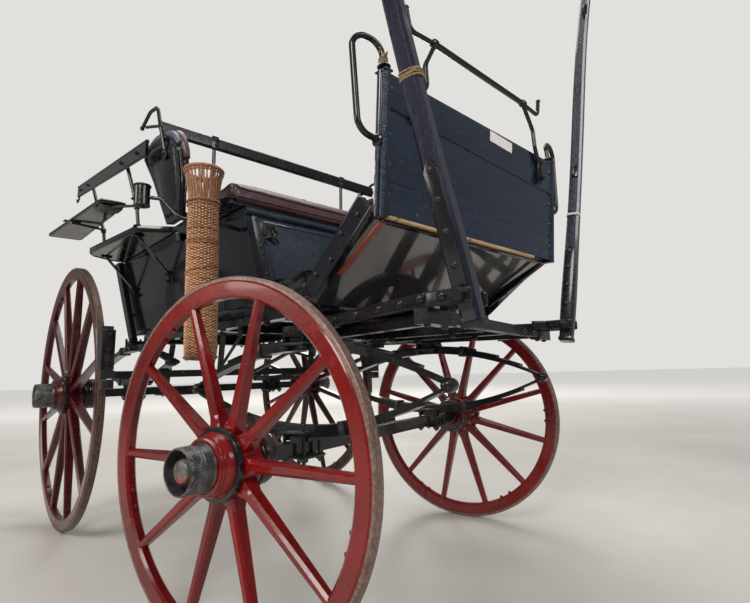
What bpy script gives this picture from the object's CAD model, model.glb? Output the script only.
import math
import random

import bmesh
import bpy
from mathutils import Matrix, Vector
from mathutils.bvhtree import BVHTree


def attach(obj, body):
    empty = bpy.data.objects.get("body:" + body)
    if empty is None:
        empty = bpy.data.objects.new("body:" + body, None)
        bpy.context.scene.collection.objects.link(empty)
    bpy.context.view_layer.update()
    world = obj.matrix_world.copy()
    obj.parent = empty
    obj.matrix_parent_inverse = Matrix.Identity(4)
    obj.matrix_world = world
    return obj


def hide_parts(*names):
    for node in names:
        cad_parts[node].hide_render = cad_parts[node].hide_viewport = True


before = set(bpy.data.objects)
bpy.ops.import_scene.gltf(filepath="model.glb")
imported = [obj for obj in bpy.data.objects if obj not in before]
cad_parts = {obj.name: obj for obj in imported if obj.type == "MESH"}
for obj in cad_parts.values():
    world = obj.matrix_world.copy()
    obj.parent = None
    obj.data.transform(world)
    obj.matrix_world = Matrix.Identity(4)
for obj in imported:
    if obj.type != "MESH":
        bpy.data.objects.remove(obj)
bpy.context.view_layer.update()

# ------------------------------------------------------------------ frames of reference, in metres
FRONT_Y = -0.594
TURN = math.radians(12.9)
CAR = Matrix.Translation((0, FRONT_Y, 0))
FORE = CAR @ Matrix.Rotation(TURN, 4, "Z")
FLARE = math.radians(13)


def place(base, x=0.0, y=0.0, z=0.0, rx=0.0, ry=0.0, rz=0.0):
    """A frame at x, y, z of base, turned about its own x, then y, then z (degrees)."""
    m = base @ Matrix.Translation((x, y, z))
    for a, k in ((rx, "X"), (ry, "Y"), (rz, "Z")):
        if a:
            m = m @ Matrix.Rotation(math.radians(a), 4, k)
    return m


def facing(origin, normal, up=(0, 0, 1)):
    """A frame at origin whose z is the normal and whose y is nearest to up."""
    z = Vector(normal).normalized()
    up = Vector(up)
    if abs(z.dot(up.normalized())) > 0.99:
        up = Vector((0, 1, 0))
    x = up.cross(z).normalized()
    y = z.cross(x)
    m = Matrix((x, y, z)).transposed().to_4x4()
    m.translation = Vector(origin)
    return m


def half_at(z):
    return 0.330 + (z - 0.895) * math.tan(FLARE)


# ------------------------------------------------------------------ camera
def camera():
    turn, pitch, roll = math.radians(43.29), math.radians(8.35), math.radians(-1.8)
    ahead = Vector((math.sin(turn) * math.cos(pitch), math.cos(turn) * math.cos(pitch), math.sin(pitch)))
    level = Vector((math.cos(turn), -math.sin(turn), 0))
    up = level.cross(ahead)
    right = level * math.cos(roll) + up * math.sin(roll)
    top = level * -math.sin(roll) + up * math.cos(roll)
    data = bpy.data.cameras.new("camera")
    data.sensor_width = 36.0
    data.lens = 36.0 * 483.1 / 750
    data.clip_start = 0.02
    cam = bpy.data.objects.new("camera", data)
    bpy.context.scene.collection.objects.link(cam)
    turned = Matrix((right, top, -ahead)).transposed().to_4x4()
    cam.matrix_world = Matrix.Translation((-1.206, -1.277 + FRONT_Y, 0.653)) @ turned
    bpy.context.scene.camera = cam


camera()


# ------------------------------------------------------------------ materials
class Net:
    def __init__(self, name):
        self.m = bpy.data.materials.new(name)
        self.m.use_nodes = True
        self.t = self.m.node_tree
        self.bsdf = self.t.nodes["Principled BSDF"]
        self.tc = self.t.nodes.new("ShaderNodeTexCoord")

    def node(self, kind, **values):
        n = self.t.nodes.new(kind)
        for k, v in values.items():
            setattr(n, k, v)
        return n

    def link(self, a, b):
        self.t.links.new(a, b)

    def coords(self, stretch=(1, 1, 1), turn=(0, 0, 0)):
        n = self.node("ShaderNodeMapping")
        n.inputs["Scale"].default_value = stretch
        n.inputs["Rotation"].default_value = turn
        self.link(self.tc.outputs["Object"], n.inputs["Vector"])
        return n.outputs["Vector"]

    def noise(self, scale, detail=4.0, rough=0.6, stretch=(1, 1, 1), distort=0.0):
        n = self.node("ShaderNodeTexNoise")
        n.inputs["Scale"].default_value = scale
        n.inputs["Detail"].default_value = detail
        n.inputs["Roughness"].default_value = rough
        n.inputs["Distortion"].default_value = distort
        self.link(self.coords(stretch), n.inputs["Vector"])
        return n.outputs["Fac"]

    def voronoi(self, scale, feature="F1", stretch=(1, 1, 1)):
        n = self.node("ShaderNodeTexVoronoi", feature=feature)
        n.inputs["Scale"].default_value = scale
        self.link(self.coords(stretch), n.inputs["Vector"])
        return n.outputs["Distance"]

    def remap(self, value, a, b, lo=0.0, hi=1.0):
        n = self.node("ShaderNodeMapRange")
        self.link(value, n.inputs["Value"])
        for k, v in (("From Min", a), ("From Max", b), ("To Min", lo), ("To Max", hi)):
            n.inputs[k].default_value = v
        return n.outputs["Result"]

    def math(self, op, a, b):
        n = self.node("ShaderNodeMath", operation=op, use_clamp=op in ("MULTIPLY", "ADD"))
        for i, v in enumerate((a, b)):
            if isinstance(v, (int, float)):
                n.inputs[i].default_value = v
            else:
                self.link(v, n.inputs[i])
        return n.outputs[0]

    def mix(self, fac, a, b):
        n = self.node("ShaderNodeMix", data_type="RGBA")
        self.link(fac, n.inputs[0])
        for i, v in ((6, a), (7, b)):
            if isinstance(v, (tuple, list)):
                n.inputs[i].default_value = (*v, 1) if len(v) == 3 else v
            else:
                self.link(v, n.inputs[i])
        return n.outputs[2]

    def bump(self, height, strength, distance, under=None):
        n = self.node("ShaderNodeBump")
        n.inputs["Strength"].default_value = strength
        n.inputs["Distance"].default_value = distance
        self.link(height, n.inputs["Height"])
        if under is not None:
            self.link(under, n.inputs["Normal"])
        return n.outputs["Normal"]

    def soft_edges(self, radius):
        n = self.node("ShaderNodeBevel", samples=4)
        n.inputs["Radius"].default_value = radius
        return n.outputs["Normal"]

    def edge_mask(self, radius):
        """1 on the corners of a solid, 0 on its flats."""
        bev = self.node("ShaderNodeBevel", samples=4)
        bev.inputs["Radius"].default_value = radius
        geo = self.node("ShaderNodeNewGeometry")
        dot = self.node("ShaderNodeVectorMath", operation="DOT_PRODUCT")
        self.link(bev.outputs["Normal"], dot.inputs[0])
        self.link(geo.outputs["Normal"], dot.inputs[1])
        return self.remap(dot.outputs["Value"], 0.985, 0.86, 0.0, 1.0)

    def up_mask(self):
        geo = self.node("ShaderNodeNewGeometry")
        sep = self.node("ShaderNodeSeparateXYZ")
        self.link(geo.outputs["Normal"], sep.inputs[0])
        return sep.outputs["Z"]

    def set(self, **values):
        for k, v in values.items():
            s = self.bsdf.inputs[k.replace("_", " ")]
            if hasattr(v, "node"):
                self.link(v, s)
            elif isinstance(v, tuple):
                s.default_value = (*v, 1) if len(v) == 3 else v
            else:
                s.default_value = v
        return self


def paint(name, base, deep, light, rough=(0.16, 0.30), coat=0.6, patch=5.0, brush=(1, 1, 1), brush_bump=0.25,
          chip=None, chip_at=0.70, edge=None, edge_at=0.62, edge_r=0.0022, dust=(0.42, 0.40, 0.36), dust_by=0.16, speck=None, metallic=0.0, soft=0.0015, spec=0.4):
    """Brushed gloss paint over wood or iron: cloudy colour, brush marks, chips, worn edges and a little dust."""
    n = Net(name)
    cloud = n.noise(patch, 5, 0.6, brush)
    colour = n.mix(n.remap(cloud, 0.35, 0.68), deep, base)
    streak = n.noise(38, 6, 0.65, brush)
    colour = n.mix(n.remap(streak, 0.56, 0.80, 0, 0.55), colour, light)
    if speck is not None:
        dots = n.voronoi(170)
        where = n.math("MULTIPLY", n.remap(dots, 0.16, 0.06), n.remap(n.noise(9, 3), 0.50, 0.66))
        colour = n.mix(where, colour, speck)
    rub = n.math("MULTIPLY", n.remap(n.noise(60, 6, 0.7), 0.50, 0.62), n.remap(n.noise(6, 3), 0.40, 0.62))
    if chip is not None:
        spots = n.math("MULTIPLY", n.remap(n.noise(34, 7, 0.72), chip_at, chip_at + 0.02), n.remap(n.noise(4.5, 2), 0.44, 0.56))
        colour = n.mix(spots, colour, chip)
    if edge is not None:
        worn = n.math("MULTIPLY", n.edge_mask(edge_r), n.remap(n.noise(42, 6, 0.7), edge_at, edge_at + 0.08))
        colour = n.mix(worn, colour, edge)
    if dust is not None:
        lie = n.math("MULTIPLY", n.remap(n.up_mask(), 0.30, 0.95, 0, dust_by * 2.2), n.remap(n.noise(16, 5), 0.36, 0.70))
        lie = n.math("ADD", lie, n.math("MULTIPLY", rub, dust_by * 0.55))
        colour = n.mix(lie, colour, dust)
    r = n.remap(n.noise(11, 5, 0.6, brush), 0.32, 0.70, *rough)
    r = n.math("ADD", r, n.math("MULTIPLY", rub, 0.16))
    wave = n.bump(n.noise(7, 3, 0.5), 0.22, 0.004, n.soft_edges(soft))
    fine = n.bump(n.noise(70, 4, 0.6, brush), brush_bump, 0.0009, wave)
    n.set(Base_Color=colour, Roughness=r, Metallic=metallic, Normal=fine, Coat_Weight=coat, Coat_Roughness=0.06, IOR=1.5, Specular_IOR_Level=spec)
    return n.m


M = {}
M["red"] = paint("wheel_red", (0.225, 0.0045, 0.0040), (0.115, 0.0025, 0.0030), (0.30, 0.0100, 0.0070), (0.16, 0.30), 0.34, 4.0, (1, 1, 1), 0.30,
                 chip=(0.045, 0.008, 0.007), chip_at=0.725, edge=(0.070, 0.006, 0.009), edge_at=0.60, dust=(0.26, 0.12, 0.10), dust_by=0.02, spec=0.32)
M["maroon"] = paint("wheel_maroon", (0.074, 0.0030, 0.0050), (0.036, 0.0018, 0.0034), (0.115, 0.0060, 0.0070), (0.18, 0.34), 0.30, 4.0, (1, 1, 1), 0.30,
                    chip=(0.018, 0.005, 0.005), chip_at=0.72, edge=(0.026, 0.006, 0.008), edge_at=0.62, dust=(0.20, 0.11, 0.10), dust_by=0.03, spec=0.30)
M["iron"] = paint("black_iron", (0.010, 0.011, 0.014), (0.006, 0.006, 0.008), (0.026, 0.027, 0.031), (0.17, 0.32), 0.35, 9.0, (1, 1, 1), 0.40,
                  chip=(0.055, 0.042, 0.034), chip_at=0.77, edge=(0.085, 0.080, 0.075), edge_at=0.72, dust=(0.24, 0.23, 0.22), dust_by=0.05, soft=0.0012, spec=0.30)
M["iron_worn"] = paint("worn_iron", (0.034, 0.036, 0.040), (0.012, 0.012, 0.014), (0.110, 0.110, 0.112), (0.28, 0.46), 0.3, 14.0, (1, 1, 1), 0.5,
                       chip=(0.19, 0.18, 0.165), chip_at=0.66, edge=(0.24, 0.235, 0.225), edge_at=0.58, dust=(0.30, 0.29, 0.27), dust_by=0.12)
M["body"] = paint("body_black", (0.0075, 0.009, 0.017), (0.0045, 0.005, 0.009), (0.018, 0.021, 0.034), (0.09, 0.20), 0.45, 3.0, (1, 1, 1), 0.16,
                  chip=(0.07, 0.058, 0.048), chip_at=0.775, edge=(0.085, 0.080, 0.075), edge_at=0.70, dust=(0.26, 0.25, 0.24), dust_by=0.04, spec=0.28)
M["riser"] = paint("riser_blue", (0.026, 0.046, 0.072), (0.012, 0.022, 0.040), (0.15, 0.185, 0.215), (0.22, 0.40), 0.6, 5.0, (0.5, 1, 1.6), 0.22,
                   chip=(0.27, 0.29, 0.31), chip_at=0.680, edge=(0.20, 0.20, 0.20), edge_at=0.58, dust=(0.32, 0.33, 0.35), dust_by=0.14)
M["dash"] = paint("dash_navy", (0.007, 0.021, 0.052), (0.004, 0.009, 0.024), (0.030, 0.082, 0.115), (0.12, 0.28), 0.85, 3.4, (0.26, 1, 3.8), 0.85,
                  chip=(0.085, 0.150, 0.185), chip_at=0.725, edge=(0.20, 0.23, 0.25), edge_at=0.66, dust=(0.16, 0.22, 0.26), dust_by=0.06)
M["shaft"] = paint("shaft_violet", (0.010, 0.012, 0.036), (0.005, 0.006, 0.018), (0.032, 0.034, 0.080), (0.19, 0.33), 0.65, 5.0, (2, 2, 0.35), 0.45,
                   chip=(0.070, 0.068, 0.095), chip_at=0.75, edge=(0.15, 0.16, 0.25), edge_at=0.68, dust=(0.18, 0.18, 0.26), dust_by=0.05)
M["strip"] = paint("strip_red", (0.36, 0.082, 0.042), (0.24, 0.046, 0.027), (0.46, 0.14, 0.085), (0.34, 0.50), 0.2, 9.0, (1, 1, 1), 0.4,
                   chip=(0.10, 0.045, 0.03), chip_at=0.69, edge=(0.15, 0.075, 0.055), edge_at=0.60, dust=(0.42, 0.30, 0.24), dust_by=0.10)
M["brake"] = paint("brake_block", (0.024, 0.023, 0.024), (0.011, 0.010, 0.010), (0.060, 0.053, 0.047), (0.45, 0.68), 0.1, 12.0, (1, 1, 0.4), 0.9,
                   chip=(0.14, 0.105, 0.08), chip_at=0.65, edge=(0.17, 0.13, 0.10), edge_at=0.56, dust=(0.22, 0.20, 0.18), dust_by=0.14)
M["guard"] = paint("mudguard_black", (0.013, 0.014, 0.018), (0.007, 0.007, 0.010), (0.034, 0.036, 0.041), (0.12, 0.26), 0.4, 5.0, (1, 1, 1), 0.2,
                   chip=(0.10, 0.085, 0.075), chip_at=0.76, edge=(0.12, 0.115, 0.11), edge_at=0.68, dust=(0.28, 0.27, 0.25), dust_by=0.10)


def tyre_metal(name, dark, warm, pale, spots):
    n = Net(name)
    rust = n.mix(n.remap(n.noise(9, 6, 0.6), 0.34, 0.68), dark, warm)
    c = n.mix(n.remap(n.noise(130, 5, 0.75), 0.48, 0.66), rust, pale)
    c = n.mix(n.math("MULTIPLY", n.remap(n.noise(70, 7, 0.7), 0.63, 0.67), n.remap(n.noise(5, 2), 0.46, 0.62)), c, spots)
    c = n.mix(n.remap(n.edge_mask(0.0030), 0.10, 0.60), c, (0.060, 0.012, 0.014))
    pits = n.voronoi(260)
    n.set(Base_Color=c, Roughness=n.remap(n.noise(30, 5), 0.3, 0.7, 0.34, 0.56), Metallic=0.5,
          Normal=n.bump(pits, 0.22, 0.0010, n.bump(n.noise(120, 6, 0.7), 0.4, 0.0007, n.soft_edges(0.002))))
    return n.m


def cap_metal():
    n = Net("cap_iron")
    c = n.mix(n.remap(n.noise(26, 6), 0.4, 0.66), (0.030, 0.031, 0.034), (0.105, 0.108, 0.112))
    c = n.mix(n.math("MULTIPLY", n.edge_mask(0.0016), n.remap(n.noise(60, 5), 0.42, 0.56)), c, (0.30, 0.30, 0.30))
    c = n.mix(n.remap(n.noise(70, 6, 0.75), 0.665, 0.68), c, (0.26, 0.06, 0.05))
    n.set(Base_Color=c, Roughness=n.remap(n.noise(34, 5), 0.35, 0.68, 0.26, 0.50), Metallic=0.35, Coat_Weight=0.25, Coat_Roughness=0.2,
          Normal=n.bump(n.noise(150, 5, 0.7), 0.35, 0.0007, n.soft_edges(0.0012)))
    return n.m


def plug_metal():
    n = Net("plug_iron")
    c = n.mix(n.remap(n.noise(40, 6), 0.38, 0.66), (0.10, 0.095, 0.085), (0.26, 0.245, 0.22))
    c = n.mix(n.math("MULTIPLY", n.remap(n.noise(24, 4, 0.6), 0.55, 0.60), n.remap(n.noise(90, 5), 0.30, 0.52)), c, (0.42, 0.05, 0.035))
    n.set(Base_Color=c, Roughness=n.remap(n.noise(50, 5), 0.3, 0.7, 0.30, 0.55), Metallic=0.3,
          Normal=n.bump(n.noise(130, 5, 0.7), 0.4, 0.0008, n.soft_edges(0.0015)))
    return n.m


def leather(name, base, deep, light, rough):
    n = Net(name)
    c = n.mix(n.remap(n.noise(5, 5, 0.6), 0.34, 0.68), deep, base)
    c = n.mix(n.remap(n.noise(24, 6, 0.7), 0.58, 0.78, 0, 0.6), c, light)
    cracks = n.voronoi(330, "DISTANCE_TO_EDGE")
    c = n.mix(n.remap(cracks, 0.035, 0.0, 0, 0.5), c, deep)
    grain = n.bump(n.remap(cracks, 0.0, 0.16), 0.5, 0.0007, n.bump(n.noise(14, 5, 0.6), 0.35, 0.004))
    n.set(Base_Color=c, Roughness=n.remap(n.noise(16, 5), 0.3, 0.7, *rough), Normal=grain, Coat_Weight=0.35, Coat_Roughness=0.20)
    return n.m


def wicker(name, base, deep, light, axis, low, high):
    """Cane whose strands are dark between the stakes and polished pale where they stand out."""
    n = Net(name)
    flat = n.node("ShaderNodeVectorMath", operation="MULTIPLY_ADD")
    n.link(n.tc.outputs["Object"], flat.inputs[0])
    flat.inputs[1].default_value = (1, 1, 0)
    flat.inputs[2].default_value = (-axis[0], -axis[1], 0)
    far = n.node("ShaderNodeVectorMath", operation="LENGTH")
    n.link(flat.outputs["Vector"], far.inputs[0])
    out = n.remap(far.outputs["Value"], low, high)
    hollow = n.remap(n.noise(14, 3), 0.30, 0.70, 0.75, 1.0)
    c = n.mix(n.remap(n.noise(60, 4, 0.6, (1, 1, 2.2)), 0.34, 0.66), deep, base)
    c = n.mix(n.math("MULTIPLY", n.remap(out, 0.45, 0.95), n.remap(n.noise(90, 4, 0.6, (1, 1, 2)), 0.22, 0.50)), c, light)
    c = n.mix(n.math("MULTIPLY", n.remap(out, 0.70, 0.34, 0, 1.0), hollow), c, (0.022, 0.008, 0.005))
    n.set(Base_Color=c, Roughness=n.remap(n.noise(60, 4), 0.3, 0.7, 0.30, 0.50), Normal=n.bump(n.noise(260, 4, 0.7, (1, 1, 2)), 0.4, 0.0004),
          Coat_Weight=0.35, Coat_Roughness=0.18)
    return n.m


def fibre(name, base, deep):
    n = Net(name)
    c = n.mix(n.remap(n.noise(240, 4, 0.7), 0.38, 0.64), deep, base)
    n.set(Base_Color=c, Roughness=0.9, Sheen_Weight=0.3, Normal=n.bump(n.noise(520, 3, 0.7), 0.7, 0.0006))
    return n.m


def raw_wood():
    n = Net("raw_wood")
    grain = n.noise(60, 6, 0.7, (0.12, 1, 1))
    c = n.mix(n.remap(grain, 0.36, 0.66), (0.42, 0.24, 0.11), (0.66, 0.46, 0.27))
    c = n.mix(n.remap(n.noise(26, 6, 0.7), 0.60, 0.66), c, (0.07, 0.045, 0.035))
    n.set(Base_Color=c, Roughness=0.62, Normal=n.bump(grain, 0.5, 0.0012))
    return n.m


def paper():
    n = Net("paper_label")
    c = n.mix(n.remap(n.noise(30, 5), 0.4, 0.7), (0.80, 0.79, 0.75), (0.90, 0.89, 0.86))
    n.set(Base_Color=c, Roughness=0.75, Normal=n.bump(n.noise(90, 4), 0.3, 0.0006))
    return n.m


def under_board():
    """The glossy underside of the toe board, a greyer varnish than the body."""
    n = Net("toe_gloss")
    c = n.mix(n.remap(n.noise(3.2, 5, 0.6), 0.34, 0.68), (0.030, 0.030, 0.033), (0.062, 0.060, 0.060))
    c = n.mix(n.remap(n.noise(46, 6, 0.7), 0.70, 0.73), c, (0.20, 0.19, 0.18))
    n.set(Base_Color=c, Roughness=n.remap(n.noise(9, 5), 0.34, 0.7, 0.07, 0.20), Coat_Weight=0.9, Coat_Roughness=0.04, IOR=1.6,
          Normal=n.bump(n.noise(6, 3, 0.5), 0.25, 0.004, n.soft_edges(0.0015)))
    return n.m


M["tyre"] = tyre_metal("tyre_iron", (0.150, 0.082, 0.066), (0.235, 0.155, 0.130), (0.36, 0.275, 0.245), (0.060, 0.026, 0.022))
M["tyre_rear"] = tyre_metal("tyre_iron_rear", (0.060, 0.034, 0.026), (0.125, 0.080, 0.060), (0.21, 0.165, 0.135), (0.024, 0.015, 0.013))
M["cap"] = cap_metal()
M["plug"] = plug_metal()
M["leather"] = leather("seat_leather", (0.130, 0.052, 0.058), (0.058, 0.021, 0.027), (0.25, 0.14, 0.145), (0.26, 0.42))
M["leather_blue"] = leather("roll_leather", (0.13, 0.17, 0.24), (0.06, 0.08, 0.13), (0.32, 0.38, 0.46), (0.22, 0.38))
M["leather_black"] = leather("black_leather", (0.018, 0.018, 0.021), (0.009, 0.009, 0.011), (0.06, 0.06, 0.065), (0.26, 0.44))
M["wicker"] = wicker("wicker", (0.27, 0.090, 0.036), (0.115, 0.034, 0.015), (0.84, 0.48, 0.26), (-0.575, 0.187 + FRONT_Y), 0.0410, 0.0485)
M["wicker_top"] = wicker("wicker_top", (0.165, 0.055, 0.025), (0.078, 0.025, 0.012), (0.31, 0.135, 0.064), (-0.575, 0.187 + FRONT_Y), 0.0330, 0.0450)
M["rope"] = fibre("hemp_rope", (0.42, 0.29, 0.15), (0.20, 0.125, 0.060))
M["string"] = fibre("white_string", (0.82, 0.80, 0.76), (0.55, 0.53, 0.50))
M["wood"] = raw_wood()
M["paper"] = paper()
M["under"] = under_board()

NODE_MATERIALS = {
    "red": ["front_right_wheel", "front_left_wheel"],
    "maroon": ["rear_right_wheel", "rear_left_wheel"],
    "tyre": ["front_right_tyre", "front_left_tyre"],
    "tyre_rear": ["rear_right_tyre", "rear_left_tyre"],
    "cap": ["front_right_hub_cap", "front_left_hub_cap", "rear_right_hub_cap", "rear_left_hub_cap"],
    "shaft": ["right_shaft", "left_shaft"],
    "dash": ["dashboard", "dash_posts"],
    "riser": ["seat_box_front"],
    "brake": ["brake_blocks"],
    "under": ["toe_board"],
    "guard": ["rear_mudguards"],
    "iron": ["right_shaft_iron", "left_shaft_iron", "front_axle", "rear_axle", "front_springs", "rear_springs", "forecarriage_frame",
             "lower_turntable_ring", "upper_turntable_ring", "kingpin", "bench_stays", "rail_irons", "rear_step", "rear_spring_bar",
             "brake_beam", "rein_rail", "dash_handles", "seat_grab_loops", "seat_back_rail", "lamp_sockets"],
    "body": ["body_floor", "body_sills", "right_side_panel", "left_side_panel", "seat_box_back", "driver_seat_board", "rear_benches",
             "rear_corner_posts", "rear_door", "toe_board_sides", "bench_back_rails", "seat_ends"],
    "leather": ["driver_cushion", "seat_end_pads"],
    "wicker": ["umbrella_basket"],
}
for key, names in NODE_MATERIALS.items():
    for name in names:
        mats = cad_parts[name].data.materials
        mats.clear()
        mats.append(M[key])


# ------------------------------------------------------------------ mesh building
def piece(name, bm, key, body, smooth=35.0, weld=True):
    if weld:
        bmesh.ops.remove_doubles(bm, verts=bm.verts, dist=1e-6)
    bmesh.ops.recalc_face_normals(bm, faces=bm.faces)
    me = bpy.data.meshes.new(name)
    bm.to_mesh(me)
    bm.free()
    me.shade_smooth()
    if smooth is not None:
        me.set_sharp_from_angle(angle=math.radians(smooth))
    ob = bpy.data.objects.new(name, me)
    bpy.context.scene.collection.objects.link(ob)
    me.materials.append(M[key])
    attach(ob, body)
    return ob


def lathe(bm, m, profile, seg=64, closed=True):
    """Revolves (radius, height) points about m's z. A closed profile is a ring, an open one is capped at radius 0."""
    rings = []
    for r, z in profile:
        if r < 1e-6:
            rings.append([bm.verts.new(m @ Vector((0, 0, z)))])
        else:
            rings.append([bm.verts.new(m @ Vector((r * math.cos(2 * math.pi * k / seg), r * math.sin(2 * math.pi * k / seg), z))) for k in range(seg)])
    pairs = list(zip(rings, rings[1:]))
    if closed:
        pairs.append((rings[-1], rings[0]))
    for a, b in pairs:
        if len(a) == 1 and len(b) == 1:
            continue
        for k in range(seg):
            j = (k + 1) % seg
            if len(a) == 1:
                bm.faces.new((a[0], b[j], b[k]))
            elif len(b) == 1:
                bm.faces.new((a[k], a[j], b[0]))
            else:
                bm.faces.new((a[k], a[j], b[j], b[k]))


def prism(bm, m, outline, z0, z1, bevel=0.0, seg=2):
    """A straight solid over a flat outline in m's xy, with rounded edges."""
    part = bmesh.new()
    low = [part.verts.new(m @ Vector((x, y, z0))) for x, y in outline]
    high = [part.verts.new(m @ Vector((x, y, z1))) for x, y in outline]
    part.faces.new(list(reversed(low)))
    part.faces.new(high)
    for k in range(len(outline)):
        j = (k + 1) % len(outline)
        part.faces.new((low[k], low[j], high[j], high[k]))
    if bevel:
        bmesh.ops.recalc_face_normals(part, faces=part.faces)
        bmesh.ops.bevel(part, geom=list(part.edges), offset=bevel, segments=seg, profile=0.6, affect="EDGES", clamp_overlap=True)
    join(bm, part)


def join(bm, part):
    me = bpy.data.meshes.new("part")
    part.to_mesh(me)
    part.free()
    bm.from_mesh(me)
    bpy.data.meshes.remove(me)


def block(bm, m, sx, sy, sz, bevel=0.0015, seg=2):
    """A rounded block of full sizes sx, sy, sz centred on m's origin."""
    prism(bm, m, ((-sx / 2, -sy / 2), (sx / 2, -sy / 2), (sx / 2, sy / 2), (-sx / 2, sy / 2)), -sz / 2, sz / 2, bevel, seg)


def bar(bm, a, b, wide, thick, up=(0, 0, 1), bevel=0.0015, seg=2):
    """A rounded flat bar from a to b: thick along up, wide across it."""
    a, b = Vector(a), Vector(b)
    y = (b - a).normalized()
    x = y.cross(Vector(up)).normalized()
    z = x.cross(y)
    m = Matrix((x, y, z)).transposed().to_4x4()
    m.translation = (a + b) / 2
    block(bm, m, wide, (b - a).length, thick, bevel, seg)


def smooth_line(points, steps=6, closed=False):
    """Points along a smooth line through the given ones."""
    p = [Vector(q) for q in points]
    n = len(p)
    out = []
    for i in range(n if closed else n - 1):
        a, b, c, d = (p[(i + k) % n] if closed else p[min(max(i + k, 0), n - 1)] for k in (-1, 0, 1, 2))
        for j in range(steps):
            t = j / steps
            out.append(0.5 * ((2 * b) + (c - a) * t + (2 * a - 5 * b + 4 * c - d) * t * t + (3 * b - a - 3 * c + d) * t ** 3))
    if not closed:
        out.append(p[-1])
    return out


def tube(bm, line, r, seg=8, closed=False, flat=1.0, taper=None, cap=True):
    """A round or flattened tube along a line of points."""
    line = [Vector(q) for q in line]
    n = len(line)
    normal = None
    rings = []
    for i in range(n):
        a = line[(i - 1) % n] if closed or i > 0 else line[0]
        b = line[(i + 1) % n] if closed or i < n - 1 else line[-1]
        t = (b - a).normalized()
        if normal is None:
            normal = t.orthogonal().normalized()
        normal = (normal - t * normal.dot(t)).normalized()
        side = t.cross(normal)
        k = r * (taper(i / max(n - 1, 1)) if taper else 1.0)
        rings.append([bm.verts.new(line[i] + normal * k * math.cos(2 * math.pi * j / seg) + side * k * flat * math.sin(2 * math.pi * j / seg)) for j in range(seg)])
    if closed:
        first, last = rings[0], rings[-1]
        best = min(range(seg), key=lambda s: (first[s].co - last[0].co).length)
        rings.append([first[(best + j) % seg] for j in range(seg)])
    for a, b in zip(rings, rings[1:]):
        for j in range(seg):
            i = (j + 1) % seg
            bm.faces.new((a[j], a[i], b[i], b[j]))
    if not closed and cap:
        bm.faces.new(list(reversed(rings[0])))
        bm.faces.new(rings[-1])


def dome(bm, at, normal, r, h=None, seg=12):
    """A round bolt head."""
    h = r * 0.55 if h is None else h
    lathe(bm, facing(at, normal), ((r, -h * 0.4), (r, h * 0.18), (r * 0.86, h * 0.55), (r * 0.5, h * 0.9), (0, h)), seg, closed=False)


def nut(bm, at, normal, r, h=None, sides=6, stud=True, turn=0.0):
    """A nut with the end of its bolt standing out of it."""
    h = r * 0.75 if h is None else h
    m = facing(at, normal) @ Matrix.Rotation(turn, 4, "Z")
    lathe(bm, m, ((r, -h * 0.3), (r, h * 0.8), (r * 0.86, h), (0, h)), sides, closed=False)
    if stud:
        lathe(bm, m, ((r * 0.48, h * 0.9), (r * 0.48, h * 1.45), (r * 0.36, h * 1.6), (0, h * 1.62)), 10, closed=False)


def square_nut(bm, at, normal, r, h=None, turn=0.0):
    nut(bm, at, normal, r, h, 4, True, turn)


def at_car(x, y, z):
    return CAR @ Vector((x, y, z))


def at_fore(u, v, z):
    return FORE @ Vector((u, v, z))


def way(base, x, y, z):
    return base.to_3x3() @ Vector((x, y, z))


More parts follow.
